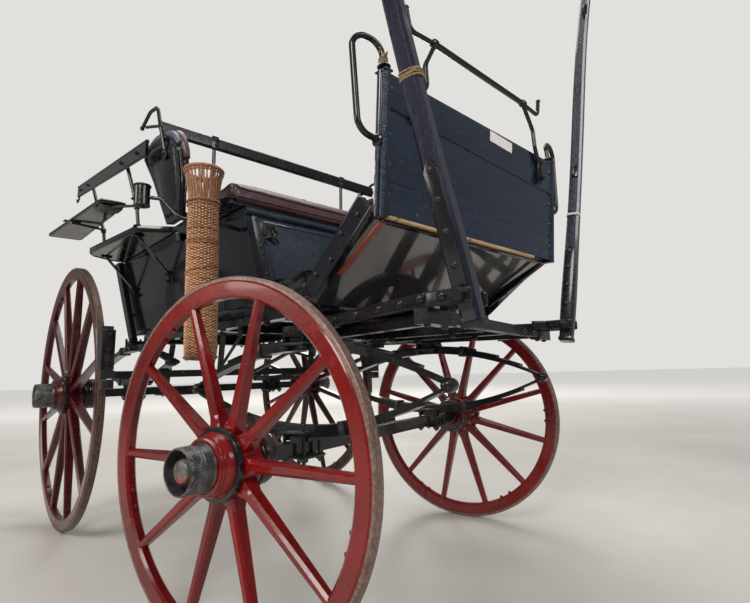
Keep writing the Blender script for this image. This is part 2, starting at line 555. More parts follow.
# ------------------------------------------------------------------ wheels: nave bands, mouldings, caps and bolts
# columns: name, base, side, y, radius, centre plane, spokes, nave radius, cap length, paint
WHEELS = (
    ("front_right", FORE, -1, 0.0, 0.450, 0.676, 10, 0.080, 0.066, "red"),
    ("front_left", FORE, 1, 0.0, 0.450, 0.676, 12, 0.080, 0.066, "red"),
    ("rear_right", CAR, -1, 1.390, 0.595, 0.692, 12, 0.080, 0.070, "maroon"),
    ("rear_left", CAR, 1, 1.390, 0.595, 0.692, 12, 0.080, 0.070, "maroon"),
)
TYRE_T, TYRE_W, FELLOE, DISH = 0.011, 0.032, 0.043, -0.014
for name, base, s, y, R, u, spokes, n, cap_len, key in WHEELS:
    body = name + "_wheel_body"
    hub = place(base, s * u, y, R, 0, 90 * s, 0)
    d = DISH
    c0 = d + 0.072

    bm = bmesh.new()
    lathe(bm, hub, ((n - 0.004, d + 0.0235), (n + 0.0050, d + 0.0240), (n + 0.0066, d + 0.0258), (n + 0.0070, d + 0.0385), (n + 0.0054, d + 0.0404), (n - 0.004, d + 0.0410)), 72)
    lathe(bm, hub, ((n - 0.010, d - 0.062), (n - 0.004, d - 0.0615), (n - 0.0025, d - 0.058), (n - 0.0025, d - 0.050), (n - 0.004, d - 0.0465), (n - 0.010, d - 0.046)), 72)
    piece(name + "_nave_bands", bm, "iron", body)

    bm = bmesh.new()
    lathe(bm, hub, (
        (n - 0.022, d + 0.0395), (n - 0.0035, d + 0.0405), (n - 0.0045, d + 0.0475), (n - 0.0090, d + 0.0560), (n - 0.0125, d + 0.0600),
        (n - 0.0128, d + 0.0615), (n - 0.0110, d + 0.0630), (n - 0.0112, d + 0.0655), (n - 0.0138, d + 0.0672), (n - 0.0142, d + 0.0685),
        (n - 0.0128, d + 0.0700), (n - 0.0134, d + 0.0724), (n - 0.0170, d + 0.0742), (n - 0.0215, d + 0.0745), (n - 0.0225, d + 0.0732), (n - 0.026, d + 0.0732)), 72)
    lathe(bm, hub, ((n - 0.020, d - 0.073), (n - 0.0115, d - 0.0728), (n - 0.010, d - 0.069), (n - 0.0115, d - 0.0655), (n - 0.020, d - 0.065)), 72)
    piece(name + "_nave_mouldings", bm, key, body)

    bm = bmesh.new()
    lathe(bm, hub, ((n - 0.022, d - 0.0985), (n - 0.0125, d - 0.098), (n - 0.011, d - 0.094), (n - 0.011, d - 0.080), (n - 0.0125, d - 0.076), (n - 0.022, d - 0.0755)), 72)
    piece(name + "_inner_nave_ring", bm, "iron_worn", body)

    # the hollow cap with its embossed end, and the plug inside it
    bm = bmesh.new()
    L = cap_len
    lathe(bm, hub, (
        (0.0, c0 + 0.002), (n - 0.0250, c0 + 0.0005), (n - 0.0240, c0 + 0.003), (n - 0.0250, c0 + 0.0060), (n - 0.0262, c0 + 0.0075),
        (n - 0.0270, c0 + L * 0.40), (n - 0.0262, c0 + L * 0.415), (n - 0.0272, c0 + L * 0.43), (n - 0.0285, c0 + L - 0.0020),
        (n - 0.0295, c0 + L - 0.0004), (n - 0.0315, c0 + L), (n - 0.0325, c0 + L - 0.0010), (n - 0.0332, c0 + L - 0.0030), (n - 0.0345, c0 + L * 0.45), (0.0, c0 + L * 0.45)), 72, closed=False)
    rows, around = 9, 48
    for i in range(rows):
        z = c0 + L * 0.445 + (L * 0.555 - 0.0030) * (i + 0.5) / rows
        rr = n - 0.0272 - 0.0013 * (i + 0.5) / rows
        for k in range(around):
            a = 2 * math.pi * (k + 0.5 * (i % 2)) / around
            spot = hub @ Vector((rr * math.cos(a), rr * math.sin(a), z))
            out = hub.to_3x3() @ Vector((math.cos(a), math.sin(a), 0))
            m = facing(spot, out, hub.to_3x3() @ Vector((0, 0, 1)))
            lathe(bm, m, ((0.0026, -0.0003), (0.0020, 0.0010), (0.0, 0.0015)), 5, closed=False)
    cap = piece(name + "_ribbed_cap", bm, "cap", body)
    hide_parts(name + "_hub_cap")

    bm = bmesh.new()
    r = 0.0270
    lathe(bm, hub, ((0.0, c0 + L - 0.006), (r * 0.80, c0 + L - 0.0065), (r * 0.93, c0 + L - 0.009), (r, c0 + L - 0.014), (r, c0 + L * 0.44), (0.0, c0 + L * 0.44)), 40, closed=False)
    lathe(bm, hub, ((r * 0.30, c0 + L - 0.0068), (r * 0.36, c0 + L - 0.0058), (r * 0.42, c0 + L - 0.0068)), 32)
    piece(name + "_axle_plug", bm, "plug", body)

    # nuts on the inside of the rim beside each felloe joint, and rivets through the tyre
    bm = bmesh.new()
    inner = R - TYRE_T - FELLOE
    joints = spokes // 2
    for k in range(joints):
        for off in (-3.2, 3.2):
            a = math.radians(360.0 * (2 * k + 1) / spokes + off)
            spot = hub @ Vector((inner * math.cos(a), inner * math.sin(a), 0))
            nut(bm, spot, hub.to_3x3() @ Vector((-math.cos(a), -math.sin(a), 0)), 0.0068, 0.0050)
    piece(name + "_rim_nuts", bm, key, body)
    bm = bmesh.new()
    for k in range(joints):
        for off in (-3.2, 3.2):
            a = math.radians(360.0 * (2 * k + 1) / spokes + off)
            spot = hub @ Vector(((R - 0.0004) * math.cos(a), (R - 0.0004) * math.sin(a), 0))
            dome(bm, spot, hub.to_3x3() @ Vector((math.cos(a), math.sin(a), 0)), 0.0070, 0.0016)
    piece(name + "_tyre_rivets", bm, "tyre" if key == "red" else "tyre_rear", body)

    # a pair of thin iron plates over each joint on the inner face of the rim
    bm = bmesh.new()
    for k in range(joints):
        a = 360.0 * (2 * k + 1) / spokes
        m = hub @ Matrix.Rotation(math.radians(a), 4, "Z") @ Matrix.Translation((R - TYRE_T - FELLOE * 0.5, 0, -TYRE_W / 2 - 0.0006))
        block(bm, m, 0.018, 0.050, 0.0024, 0.0009)
        for o in (-0.017, 0.017):
            dome(bm, m @ Vector((0, o, -0.0012)), m.to_3x3() @ Vector((0, 0, -1)), 0.0042)
    piece(name + "_joint_plates", bm, key, body)

# ------------------------------------------------------------------ axles and springs: clips, eyes, bolts and plates
# columns: name, body, base, y, mid height, half length, rise, axle height
SPRINGS = (
    ("front", "forecarriage", FORE, 0.0, 0.617, 0.470, 0.106, 0.450),
    ("rear", "carriage_body", CAR, 1.390, 0.726, 0.500, 0.072, 0.595),
)
for name, body, base, y, mid, half, rise, axle in SPRINGS:
    bm = bmesh.new()
    worn = bmesh.new()
    for x in (-0.400, 0.400):
        for e in (-1, 1):
            for o in (-1, 1):
                dome(bm, base @ Vector((x + o * 0.0215, y + e * half, mid)), way(base, o, 0, 0), 0.0135, 0.006)
            nut(bm, base @ Vector((x + 0.022, y + e * half, mid)), way(base, 1, 0, 0), 0.010, 0.009)
            # glossy bulb that the thick leaf ends in
            lathe(bm, place(base, x, y + e * (half + 0.001), mid, 0, 90, 0), (
                (0.0, -0.0205), (0.012, -0.0200), (0.0165, -0.0165), (0.0180, -0.010), (0.0180, 0.010), (0.0165, 0.0165), (0.012, 0.0200), (0.0, 0.0205)), 24, closed=False)
            # clips that hold the leaves together
            for up in (-1, 1):
                for share in (0.34,):
                    yy = e * half * share
                    t = 1 - share ** 2
                    z = mid + up * (rise * t + 0.016)
                    m = place(base, x, y + yy, z, -up * e * math.degrees(math.atan2(2 * rise * share / half, 1)), 0, 0)
                    block(worn, m, 0.052, 0.020, 0.042, 0.002)
                    for o in (-1, 1):
                        dome(worn, m @ Vector((o * 0.026, 0, 0)), m.to_3x3() @ Vector((o, 0, 0)), 0.006)
        # bolts through the saddle blocks on the axle and under the frame
        pack = rise + 0.008 * 4
        for o in (-1, 1):
            for e in (-1, 1):
                tube(bm, (base @ Vector((x + o * 0.034, y + e * 0.036, axle - 0.030)), base @ Vector((x + o * 0.034, y + e * 0.036, mid - pack + 0.020))), 0.0055, 10)
                square_nut(bm, base @ Vector((x + o * 0.034, y + e * 0.036, axle - 0.026)), (0, 0, -1), 0.0125, 0.010, math.radians(45))
                tube(bm, (base @ Vector((x + o * 0.034, y + e * 0.036, mid + pack - 0.018)), base @ Vector((x + o * 0.034, y + e * 0.036, mid + pack + 0.034))), 0.0055, 10)
                square_nut(bm, base @ Vector((x + o * 0.034, y + e * 0.036, mid + pack - 0.016)), (0, 0, -1), 0.0125, 0.010, math.radians(45))
        block(bm, place(base, x, y, axle - 0.0235), 0.092, 0.096, 0.008, 0.002)
        block(worn, place(base, x, y, mid - pack + 0.0145), 0.092, 0.096, 0.007, 0.002)
        block(worn, place(base, x, y, mid + pack - 0.0135), 0.092, 0.096, 0.007, 0.002)
    # collars where the round arms start
    bed = 0.545 if name == "front" else 0.565
    for s in (-1, 1):
        m = place(base, s * (bed + 0.006), y, axle, 0, 90 * s, 0)
        lathe(bm, m, ((0.026, -0.008), (0.0385, -0.0075), (0.040, -0.003), (0.040, 0.004), (0.037, 0.009), (0.026, 0.010)), 40)
    piece(name + "_spring_bolts", bm, "iron", body)
    piece(name + "_spring_clips", worn, "iron_worn", body)

# ------------------------------------------------------------------ forecarriage: bolts on the arms, ring lugs, kingpin nut
bm = bmesh.new()
ARMS = (((0.515, -0.582), (0.515, -0.480), (0.3065, 0.0)), ((0.424, -0.582), (0.424, -0.494), (0.384, -0.452)))
for s in (-1, 1):
    for side_out, line in ((1, ARMS[0]), (-1, ARMS[1])):
        (u0, v0), (u1, v1), (u2, v2) = line
        # thick bevelled cheeks over the plain arm bars
        for (a, b) in (((u0, v0), (u1, v1)), ((u1, v1), (u2, v2))):
            p = Vector((s * a[0], a[1], 0.810))
            q = Vector((s * b[0], b[1], 0.810))
            if a == (u0, v0):
                p = p + (p - q).normalized() * 0.004
            bar(bm, FORE @ p, FORE @ q, 0.0130, 0.0340, (0, 0, 1), 0.0058, 4)
    # bolts
    for v in (-0.520, -0.466):
        dome(bm, at_fore(s * 0.5212, v, 0.812), way(FORE, s, 0, 0), 0.0112, 0.0085)
    direction = Vector((s * (0.515 - 0.3065), -0.480, 0)).normalized()
    out = Vector((-direction.y * s, direction.x * s, 0)).normalized()
    if out.x * s < 0:
        out = -out
    for t in (0.18, 0.36, 0.58, 0.80):
        spot = Vector((s * (0.515 + (0.3065 - 0.515) * t), -0.480 + 0.480 * t, 0.811)) + out * 0.0062
        dome(bm, FORE @ spot, FORE.to_3x3() @ out, 0.0125, 0.008)
    # hinge bolt heads and nuts, and washers
    for o in (-1, 1):
        centre = s * 0.470 + o * 0.0585
        m = place(FORE, centre, -0.560, 0.810, 0, 90 * o, 0)
        lathe(bm, m, ((0.009, -0.007), (0.0195, -0.007), (0.0195, -0.0035), (0.009, -0.0035)), 28)
        nut(bm, at_fore(centre - o * 0.0035, -0.560, 0.810), way(FORE, o, 0, 0), 0.0165, 0.013, 6, o * s < 0, 0.3)
    # splinter-bar end blocks: plates and bolts
    dome(bm, at_fore(s * 0.395, -0.4825, 0.776), way(FORE, 0, -1, 0), 0.0095)
    for u in (0.395, 0.486):
        dome(bm, at_fore(s * u, -0.464, 0.7560), (0, 0, -1), 0.0090, 0.006)
    for u in (0.31, 0.20):
        dome(bm, at_fore(s * u, -0.4782, 0.778), way(FORE, 0, -1, 0), 0.010)
# lugs and bolts round the turntable ring
for k in range(8):
    a = math.radians(22.5 + 45 * k)
    square_nut(bm, at_fore(0.229 * math.cos(a), 0.229 * math.sin(a), 0.7928), (0, 0, -1), 0.0115, 0.008, a)
lathe(bm, place(FORE, 0, 0, 0), ((0.208, 0.7915), (0.251, 0.7915), (0.2535, 0.795), (0.2535, 0.802), (0.251, 0.8052), (0.208, 0.8052)), 96)
lathe(bm, place(FORE, 0, 0, 0), ((0.015, 0.7625), (0.034, 0.7625), (0.036, 0.760), (0.034, 0.757), (0.015, 0.757)), 40)
for s in (-1, 1):
    for v in (-0.34, -0.12, 0.08):
        square_nut(bm, at_fore(s * 0.090, v, 0.7632), (0, 0, -1), 0.0115, 0.008, math.radians(45))
piece("forecarriage_bolts", bm, "iron", "forecarriage")

bm = bmesh.new()
for k in range(8):
    a = math.radians(360 / 8 * k + 10)
    dome(bm, at_car(0.229 * math.cos(a), 0.229 * math.sin(a), 0.8200), (0, 0, 1), 0.009)
for s in (-1, 1):
    for x in (0.250,):
        square_nut(bm, at_car(s * x, 0.022, 0.8208), (0, 0, -1), 0.011, 0.008, math.radians(45))
lathe(bm, CAR, ((0.208, 0.8083), (0.251, 0.8083), (0.2530, 0.811), (0.2530, 0.817), (0.251, 0.8203), (0.208, 0.8203)), 96)
piece("turntable_bolts", bm, "iron", "carriage_body")

# ------------------------------------------------------------------ shafts: strap bolts, rope and string
# columns: height, outward, forward
SHAFT_LINE = ((-0.066, 0.0, 0.0), (0.030, 0.0, 0.0), (0.336, 0.0, 0.0), (0.711, -0.012, 0.0), (1.157, -0.072, -0.006), (1.588, -0.212, -0.060), (1.959, -0.401, -0.150))
SHAFT_SIZE = ((-0.066, 0.044, 0.044), (0.030, 0.050, 0.050), (0.336, 0.046, 0.046), (0.711, 0.043, 0.043), (1.157, 0.041, 0.040), (1.588, 0.036, 0.036), (1.959, 0.028, 0.030))
SHAFTS = (("right_shaft", -1, -7.4), ("left_shaft", 1, 5.6))


def between(table, h):
    for a, b in zip(table, table[1:]):
        if h <= b[0]:
            t = (h - a[0]) / (b[0] - a[0])
            return [x + (y - x) * t for x, y in zip(a[1:], b[1:])]
    return list(table[-1][1:])


def round_square(a, b, corner, n):
    """n points round a rounded rectangle of half sizes a, b."""
    out = []
    for k in range(n):
        t = 2 * math.pi * k / n
        c, s = math.cos(t), math.sin(t)
        p = 2 / corner
        out.append((a * math.copysign(abs(c) ** p, c), b * math.copysign(abs(s) ** p, s)))
    return out


ROOT = {}
for name, s, lean in SHAFTS:
    hinge = place(FORE, s * 0.470, -0.560, 0.810)
    root = hinge @ Matrix.Rotation(math.radians(lean), 4, "X") @ Matrix.Rotation(math.radians(s * 11.0), 4, "Y")
    ROOT[name] = (root, s)
    body = name + "_body"
    bm = bmesh.new()
    for f in (-1, 1):
        for h in (0.075, 0.150, 0.222, 0.290):
            dome(bm, root @ Vector((f * 0.0307, 0, h)), root.to_3x3() @ Vector((f, 0, 0)), 0.0085, 0.0062)
        # bevelled cover on the strap
        m = root @ Matrix.Translation((f * 0.0308, 0, 0)) @ Matrix.Rotation(math.radians(90), 4, "Y") @ Matrix.Rotation(math.radians(90), 4, "Z")
        strap = ((-0.0168, -0.0255), (0.0168, -0.0255), (0.0168, 0.2875), (0.0, 0.3210), (-0.0168, 0.2875))
        prism(bm, m, strap, *((-0.0026, 0.0012) if f > 0 else (-0.0012, 0.0026)), 0.0011, 2)
    # iron band round the butt end
    m = root @ Matrix.Translation((0, 0, -0.056))
    w = 0.0455
    for sx, sy, ox, oy in ((w + 0.004, 0.003, 0, w / 2), (w + 0.004, 0.003, 0, -w / 2), (0.003, w + 0.004, w / 2, 0), (0.003, w + 0.004, -w / 2, 0)):
        block(bm, m @ Matrix.Translation((ox, oy, 0)), sx, sy, 0.014, 0.0008)
    # staples and small fittings for the harness, further up
    for h in (0.640, 0.980, 1.330):
        out, ahead = between(SHAFT_LINE, h)
        wide, deep = between(SHAFT_SIZE, h)
        base = root @ Matrix.Translation((s * out, ahead, h))
        for f in ((-s,) if h != 0.980 else (s,)):
            spot = Vector((f * (wide / 2 + 0.001), 0, 0))
            block(bm, base @ Matrix.Translation((f * (wide / 2 + 0.0012), 0, 0)), 0.003, 0.020, 0.052, 0.001)
            tube(bm, [base @ Vector((f * (wide / 2 + q), 0, z)) for q, z in ((0.0, -0.020), (0.011, -0.017), (0.015, 0.0), (0.011, 0.017), (0.0, 0.020))], 0.0032, 8)
    piece(name + "_strap_irons", bm, "iron", body)

# rope round the right shaft, and its other turns round the dash handle
root, s = ROOT["right_shaft"]
h0 = 0.509
turns = 4
THREAD = 0.0011
line = []
for k in range(turns * 24 + 1):
    a = 2 * math.pi * k / 24 + 2.2
    h = h0 + 0.0052 * k / 24 + 0.0014 * math.sin(k * 0.7)
    out, ahead = between(SHAFT_LINE, h)
    wide, deep = between(SHAFT_SIZE, h)
    q = 0.0024
    c, sn = math.cos(a), math.sin(a)
    x = (wide / 2 + q) * math.copysign(abs(c) ** 0.55, c)
    y = (deep / 2 + q) * math.copysign(abs(sn) ** 0.55, sn)
    line.append(root @ Vector((s * out + x, ahead + y, h)))
twine = bmesh.new()
for phase in (0, 1, 2):
    strand = []
    normal = Vector((0, 0, 1))
    fine = smooth_line(line, 4)
    for i, p in enumerate(fine):
        t = (fine[min(i + 1, len(fine) - 1)] - fine[max(i - 1, 0)]).normalized()
        n1 = (normal - t * normal.dot(t)).normalized()
        n2 = t.cross(n1)
        a = i * 0.55 + phase * 2 * math.pi / 3
        strand.append(p + (n1 * math.cos(a) + n2 * math.sin(a)) * THREAD)
    tube(twine, strand, THREAD * 1.08, 5)
piece("shaft_rope", twine, "rope", "right_shaft_body", None)

twine = bmesh.new()
hx, hy = -0.418, -0.498
for phase in (0, 1, 2):
    strand = []
    n = 4 * 20
    for i in range(n + 1):
        a = 2 * math.pi * i / 20
        z = 1.4095 + 0.0046 * i / 20
        p = at_car(hx + 0.0106 * math.cos(a), hy + 0.0106 * math.sin(a), z)
        b = i * 0.9 + phase * 2 * math.pi / 3
        strand.append(p + Vector((THREAD * math.cos(a) * math.cos(b), THREAD * math.sin(a) * math.cos(b), THREAD * math.sin(b))))
    tube(twine, strand, THREAD * 1.08, 5)
for k, (dx, dy, dz) in enumerate(((-0.026, -0.014, -0.020), (-0.020, -0.024, -0.012), (-0.028, -0.004, 0.010))):
    tail = [at_car(hx, hy - 0.012, 1.428), at_car(hx + dx * 0.5, hy - 0.012 + dy * 0.5, 1.430 + dz * 0.1), at_car(hx + dx, hy - 0.012 + dy, 1.428 + dz)]
    tube(twine, smooth_line(tail, 6), 0.0018, 6)
piece("handle_rope", twine, "rope", "carriage_body", None)

root, s = ROOT["left_shaft"]
bm = bmesh.new()
line = []
for k in range(3 * 24 + 1):
    a = 2 * math.pi * k / 24
    h = 0.446 + 0.0032 * k / 24
    out, ahead = between(SHAFT_LINE, h)
    wide, deep = between(SHAFT_SIZE, h)
    c, sn = math.cos(a), math.sin(a)
    line.append(root @ Vector((s * out + (wide / 2 + 0.0016) * math.copysign(abs(c) ** 0.5, c), ahead + (deep / 2 + 0.0016) * math.copysign(abs(sn) ** 0.5, sn), h)))
tube(bm, line, 0.0016, 6)
tail = [line[-1], line[-1] + Vector((-0.004, -0.010, -0.012)), line[-1] + Vector((-0.008, -0.012, -0.030))]
tube(bm, smooth_line(tail, 5), 0.0014, 6)
piece("shaft_string", bm, "string", "left_shaft_body", None)

# ------------------------------------------------------------------ dash: label, bolts, raw edge, post trim
RAKE = math.radians(5)
DASH = CAR @ Matrix.Translation((0, -0.457, 1.032)) @ Matrix((
    (1, 0, 0, 0), (0, -math.sin(RAKE), -math.cos(RAKE), 0), (0, math.cos(RAKE), -math.sin(RAKE), 0), (0, 0, 0, 1)))
UP = (1.386 - 1.032) / math.cos(RAKE)
FACE = 0.024

bm = bmesh.new()
block(bm, DASH @ Matrix.Translation((0.088, UP - 0.021, FACE + 0.0008)) @ Matrix.Rotation(math.radians(-2.0), 4, "Z"), 0.124, 0.033, 0.0010, 0.0003, 1)
piece("blank_label", bm, "paper", "carriage_body")

bm = bmesh.new()
for s, x in ((-1, 0.405), (1, 0.398)):
    for h in (0.050, 0.128, 0.202, 0.318):
        dome(bm, DASH @ Vector((s * x, h, FACE + 0.0005)), way(DASH, 0, 0, 1), 0.0068, 0.0045)
# screws down the outer edges of the posts
for s in (-1, 1):
    for h in (0.035, 0.110, 0.185, 0.262, 0.330):
        dome(bm, DASH @ Vector((s * 0.4300, h, 0.012)), way(DASH, s, 0, 0), 0.0050, 0.0030)
for x in (-0.30, -0.10, 0.12, 0.31):
    dome(bm, DASH @ Vector((x, 0.020, FACE + 0.0005)), way(DASH, 0, 0, 1), 0.0048, 0.0026)
piece("dash_bolts", bm, "dash", "carriage_body")

bm = bmesh.new()
for s in (-1, 1):
    # half-round iron beading on the outer edge of each post, and a cap on its top
    line = [DASH @ Vector((s * 0.4305, h, 0.012)) for h in (-0.006, 0.10, 0.22, UP + 0.004)]
    part = []
    for p in smooth_line(line, 2):
        part.append(p)
    tube(bm, part, 0.0075, 12, flat=1.0)
    block(bm, DASH @ Matrix.Translation((s * 0.419, UP + 0.0055, 0.012)), 0.026, 0.0050, 0.041, 0.002)
piece("dash_post_beads", bm, "dash", "carriage_body")

# the top edge of the dash, with a low rounded cap strip
bm = bmesh.new()
block(bm, DASH @ Matrix.Translation((0, UP + 0.0008, 0.012)), 0.812, 0.0030, 0.0235, 0.0011)
piece("dash_top_strip", bm, "dash", "carriage_body")

# raw wood edge along the bottom, where the paint is gone
bm = bmesh.new()
block(bm, DASH @ Matrix.Translation((-0.05, -0.0030, 0.0165)), 0.70, 0.0085, 0.0150, 0.0012)
piece("dash_raw_edge", bm, "wood", "carriage_body")
bm = bmesh.new()
block(bm, DASH @ Matrix.Translation((0.0, -0.0045, 0.0035)), 0.846, 0.0075, 0.0080, 0.0012)
piece("dash_low_bead", bm, "iron", "carriage_body")

# rein rail feet, collars and screws
bm = bmesh.new()
for s in (-1, 1):
    block(bm, facing(at_car(s * 0.316, -0.5165, 1.327), (0, -1, -0.09)) , 0.026, 0.088, 0.007, 0.002)
    for z in (1.300, 1.352):
        nut(bm, at_car(s * (0.3205 if z < 1.33 else 0.3115), -0.5215, z), (0, -1, 0), 0.0088, 0.006)
    lathe(bm, facing(at_car(s * 0.2335, -0.517, 1.547), (1, 0, 0)), ((0.0075, -0.010), (0.0115, -0.008), (0.0128, 0.0), (0.0115, 0.008), (0.0075, 0.010)), 24)
    lathe(bm, facing(at_car(s * 0.345, -0.517, 1.599), (0.1 * s, 0, 1)), ((0.0, 0.006), (0.006, 0.004), (0.0085, -0.001), (0.006, -0.006), (0.0, -0.007)), 18, closed=False)
piece("rein_rail_feet", bm, "iron", "carriage_body")

# handle feet: flattened eyes bolted to the posts
bm = bmesh.new()
for s in (-1, 1):
    m = facing(at_car(s * 0.4365, -0.484, 1.212), (s, 0, 0))
    lathe(bm, m, ((0.0, 0.004), (0.012, 0.0035), (0.0165, 0.0), (0.0165, -0.003), (0.0, -0.003)), 24, closed=False)
    nut(bm, at_car(s * 0.4385, -0.484, 1.212), (s, 0, 0), 0.0092, 0.006)
    lathe(bm, facing(at_car(s * 0.4188, -0.5005, 1.404), (0, 0, 1)), ((0.008, -0.004), (0.0165, -0.003), (0.0175, 0.0), (0.0150, 0.004), (0.008, 0.005)), 24)
piece("dash_handle_feet", bm, "iron", "carriage_body")

# ------------------------------------------------------------------ toe board: side channels, strips, straps
LOW = Vector((0, -0.118, 0.852))
HIGH = Vector((0, -0.452, 1.040))
SLOPE = (HIGH - LOW).normalized()
FRONT = Vector((1, 0, 0)).cross(SLOPE)      # off the board's back
BENEATH = -FRONT if FRONT.z > 0 else FRONT

bm = bmesh.new()
for s in (-1, 1):
    a = Vector((s * 0.4030 + s * 0.018, -0.178 - 0.010, 0.885 + 0.005))
    b = Vector((s * 0.4100 + s * 0.0235, -0.432 - 0.004, 1.065 + 0.010))
    along = (b - a).normalized()
    # one thin line along a plain dark plate
    upv = Vector((s, 0, 0)).cross(along).normalized()
    for off, wide in ((0.0290, 0.005), (-0.0290, 0.005)):
        o = upv * off
        x = s * 0.0022
        bar(bm, CAR @ (a + o + Vector((x, 0, 0))), CAR @ (b + o + Vector((x, 0, 0))), wide, 0.0030, (s, 0, 0), 0.0012)
piece("toe_channel_ribs", bm, "body", "carriage_body")

bm = bmesh.new()
for s in (-1, 1):
    a = Vector((s * 0.4270, -0.188, 0.890))
    b = Vector((s * 0.4365, -0.436, 1.075))
    along = (b - a).normalized()
    upv = Vector((s, 0, 0)).cross(along).normalized()
    for t, o in ((0.14, 0.010), (0.38, -0.010), (0.62, 0.010), (0.86, -0.006)):
        dome(bm, CAR @ (a.lerp(b, t) + upv * o + Vector((s * 0.0010, 0, 0))), (s, 0, 0), 0.0070, 0.0052)
piece("toe_channel_bolts", bm, "iron", "carriage_body")

# floor-side flange that carries on rearward from the channel's foot
bm = bmesh.new()
bolts = bmesh.new()
for s in (-1, 1):
    a, b = Vector((s * 0.4175, -0.176, 0.9065)), Vector((s * 0.3640, 0.060, 0.9065))
    bar(bm, CAR @ a, CAR @ b, 0.012, 0.070, (0, 0, 1), 0.0025)
    bar(bm, CAR @ (a + Vector((s * 0.006, 0.0, 0.036))), CAR @ (b + Vector((s * 0.006, 0.0, 0.036))), 0.026, 0.008, (0, 0, 1), 0.0018)
    out = Vector((s, 0.22, 0)).normalized()
    for t in (0.12, 0.5, 0.86):
        dome(bolts, CAR @ (a.lerp(b, t) + out * 0.0062), out, 0.0075, 0.005)
piece("floor_side_flanges", bm, "body", "carriage_body")
piece("floor_flange_bolts", bolts, "iron_worn", "carriage_body")

# the edge strips under the board's outer edges: red and worn on the right, black on the left
for s, key, t0, tag in ((-1, "strip", 0.45, "right"), (1, "body", 0.30, "left")):
    bm = bmesh.new()
    t1 = 0.985
    p = LOW.lerp(HIGH, t0) + Vector((s * (0.400 + 0.010 * t0 - 0.012), 0, 0)) + BENEATH * 0.0195
    q = LOW.lerp(HIGH, t1) + Vector((s * (0.400 + 0.010 * t1 - 0.012), 0, 0)) + BENEATH * 0.0195
    bar(bm, CAR @ p, CAR @ q, 0.021, 0.006, BENEATH, 0.0018)
    for t in (0.52, 0.72, 0.92):
        dome(bm, CAR @ (p.lerp(q, (t - t0) / (t1 - t0)) + BENEATH * 0.0030), BENEATH, 0.0066, 0.0036)
    piece(tag + "_toe_edge_strip", bm, key, "carriage_body")

# low rail under the dash that ties the two channels
bm = bmesh.new()
p = HIGH + Vector((-0.404, 0, -0.004)) + BENEATH * 0.010
q = HIGH + Vector((0.404, 0, -0.004)) + BENEATH * 0.010
bar(bm, CAR @ p, CAR @ q, 0.018, 0.020, (0, 0, 1), 0.003)
piece("toe_board_nosing", bm, "body", "carriage_body")

# ------------------------------------------------------------------ seat box: nosing, iron strips, ring latch, side battens
bm = bmesh.new()
bolts = bmesh.new()
for s in (-1, 1):
    low_z, high_z = 0.930, 1.212
    a = Vector((s * (half_at(low_z) - 0.018), 0.1985, low_z))
    b = Vector((s * (half_at(high_z) - 0.018), 0.1985, high_z))
    bar(bm, CAR @ a, CAR @ b, 0.030, 0.005, (0, -1, 0), 0.0014)
    for t in (0.05, 0.28, 0.52, 0.76, 0.95):
        dome(bolts, CAR @ (a.lerp(b, t) + Vector((0, -0.0026, 0))), (0, -1, 0), 0.0058, 0.0036)
piece("riser_edge_irons", bm, "iron_worn", "carriage_body")

# locker latch: plate, ring and hook
x0, z0 = -0.352, 1.135
block(bolts, facing(at_car(x0, 0.1985, z0 + 0.02), (0, -1, 0)), 0.030, 0.075, 0.004, 0.0012)
ring = [at_car(x0 + 0.024 + 0.023 * math.cos(a), 0.190 - 0.004 * math.sin(a), z0 + 0.026 + 0.023 * math.sin(a)) for a in [2 * math.pi * k / 28 for k in range(28)]]
tube(bolts, ring, 0.0038, 8, closed=True)
hook = smooth_line([at_car(x0 - 0.010, 0.194, z0 - 0.034), at_car(x0 - 0.004, 0.184, z0 - 0.006), at_car(x0 + 0.016, 0.182, z0 + 0.004), at_car(x0 + 0.044, 0.184, z0 + 0.002), at_car(x0 + 0.058, 0.190, z0 - 0.012)], 6)
tube(bolts, hook, 0.0048, 8)
block(bolts, facing(at_car(x0 + 0.046, 0.1965, z0 + 0.034), (0, -1, 0)), 0.022, 0.030, 0.006, 0.0015)
tube(bolts, smooth_line([at_car(x0 + 0.046, 0.197, z0 + 0.026), at_car(x0 + 0.046, 0.183, z0 + 0.030), at_car(x0 + 0.046, 0.184, z0 + 0.042), at_car(x0 + 0.046, 0.197, z0 + 0.046)], 5), 0.0034, 8)
piece("riser_latch", bolts, "iron_worn", "carriage_body")

# a thin frame bead round the riser panel
bm = bmesh.new()
corners = [Vector((-half_at(0.945) + 0.050, 0.1995, 0.945)), Vector((half_at(0.945) - 0.050, 0.1995, 0.945)),
           Vector((half_at(1.196) - 0.050, 0.1995, 1.196)), Vector((-half_at(1.196) + 0.050, 0.1995, 1.196))]
for a, b in zip(corners, corners[1:] + corners[:1]):
    bar(bm, CAR @ a, CAR @ b, 0.009, 0.005, (0, -1, 0), 0.0016)
piece("riser_panel_bead", bm, "riser", "carriage_body")

# battens, beads and bolts on the sloping side panels
bm = bmesh.new()
bolts = bmesh.new()
for s in (-1, 1):
    def on_side(y, z, off=0.0):
        return Vector((s * (half_at(z) + 0.0188 / math.cos(FLARE) + off), y, z))
    out = Vector((s * math.cos(FLARE), 0, -math.sin(FLARE)))
    (y0, z0), (y1, z1) = (0.068, 0.907), (1.555, 0.907)
    bar(bm, CAR @ (on_side(y0, z0, 0.0025)), CAR @ (on_side(y1, z1, 0.0025)), 0.016, 0.007, out, 0.0022)
    for k in range(7):
        t = (k + 0.5) / 7
        dome(bolts, CAR @ (on_side(y0 + (y1 - y0) * t, z0 + (z1 - z0) * t, 0.0060)), out, 0.0052, 0.0032)
piece("side_panel_battens", bm, "body", "carriage_body")
piece("side_panel_bolts", bolts, "iron", "carriage_body")

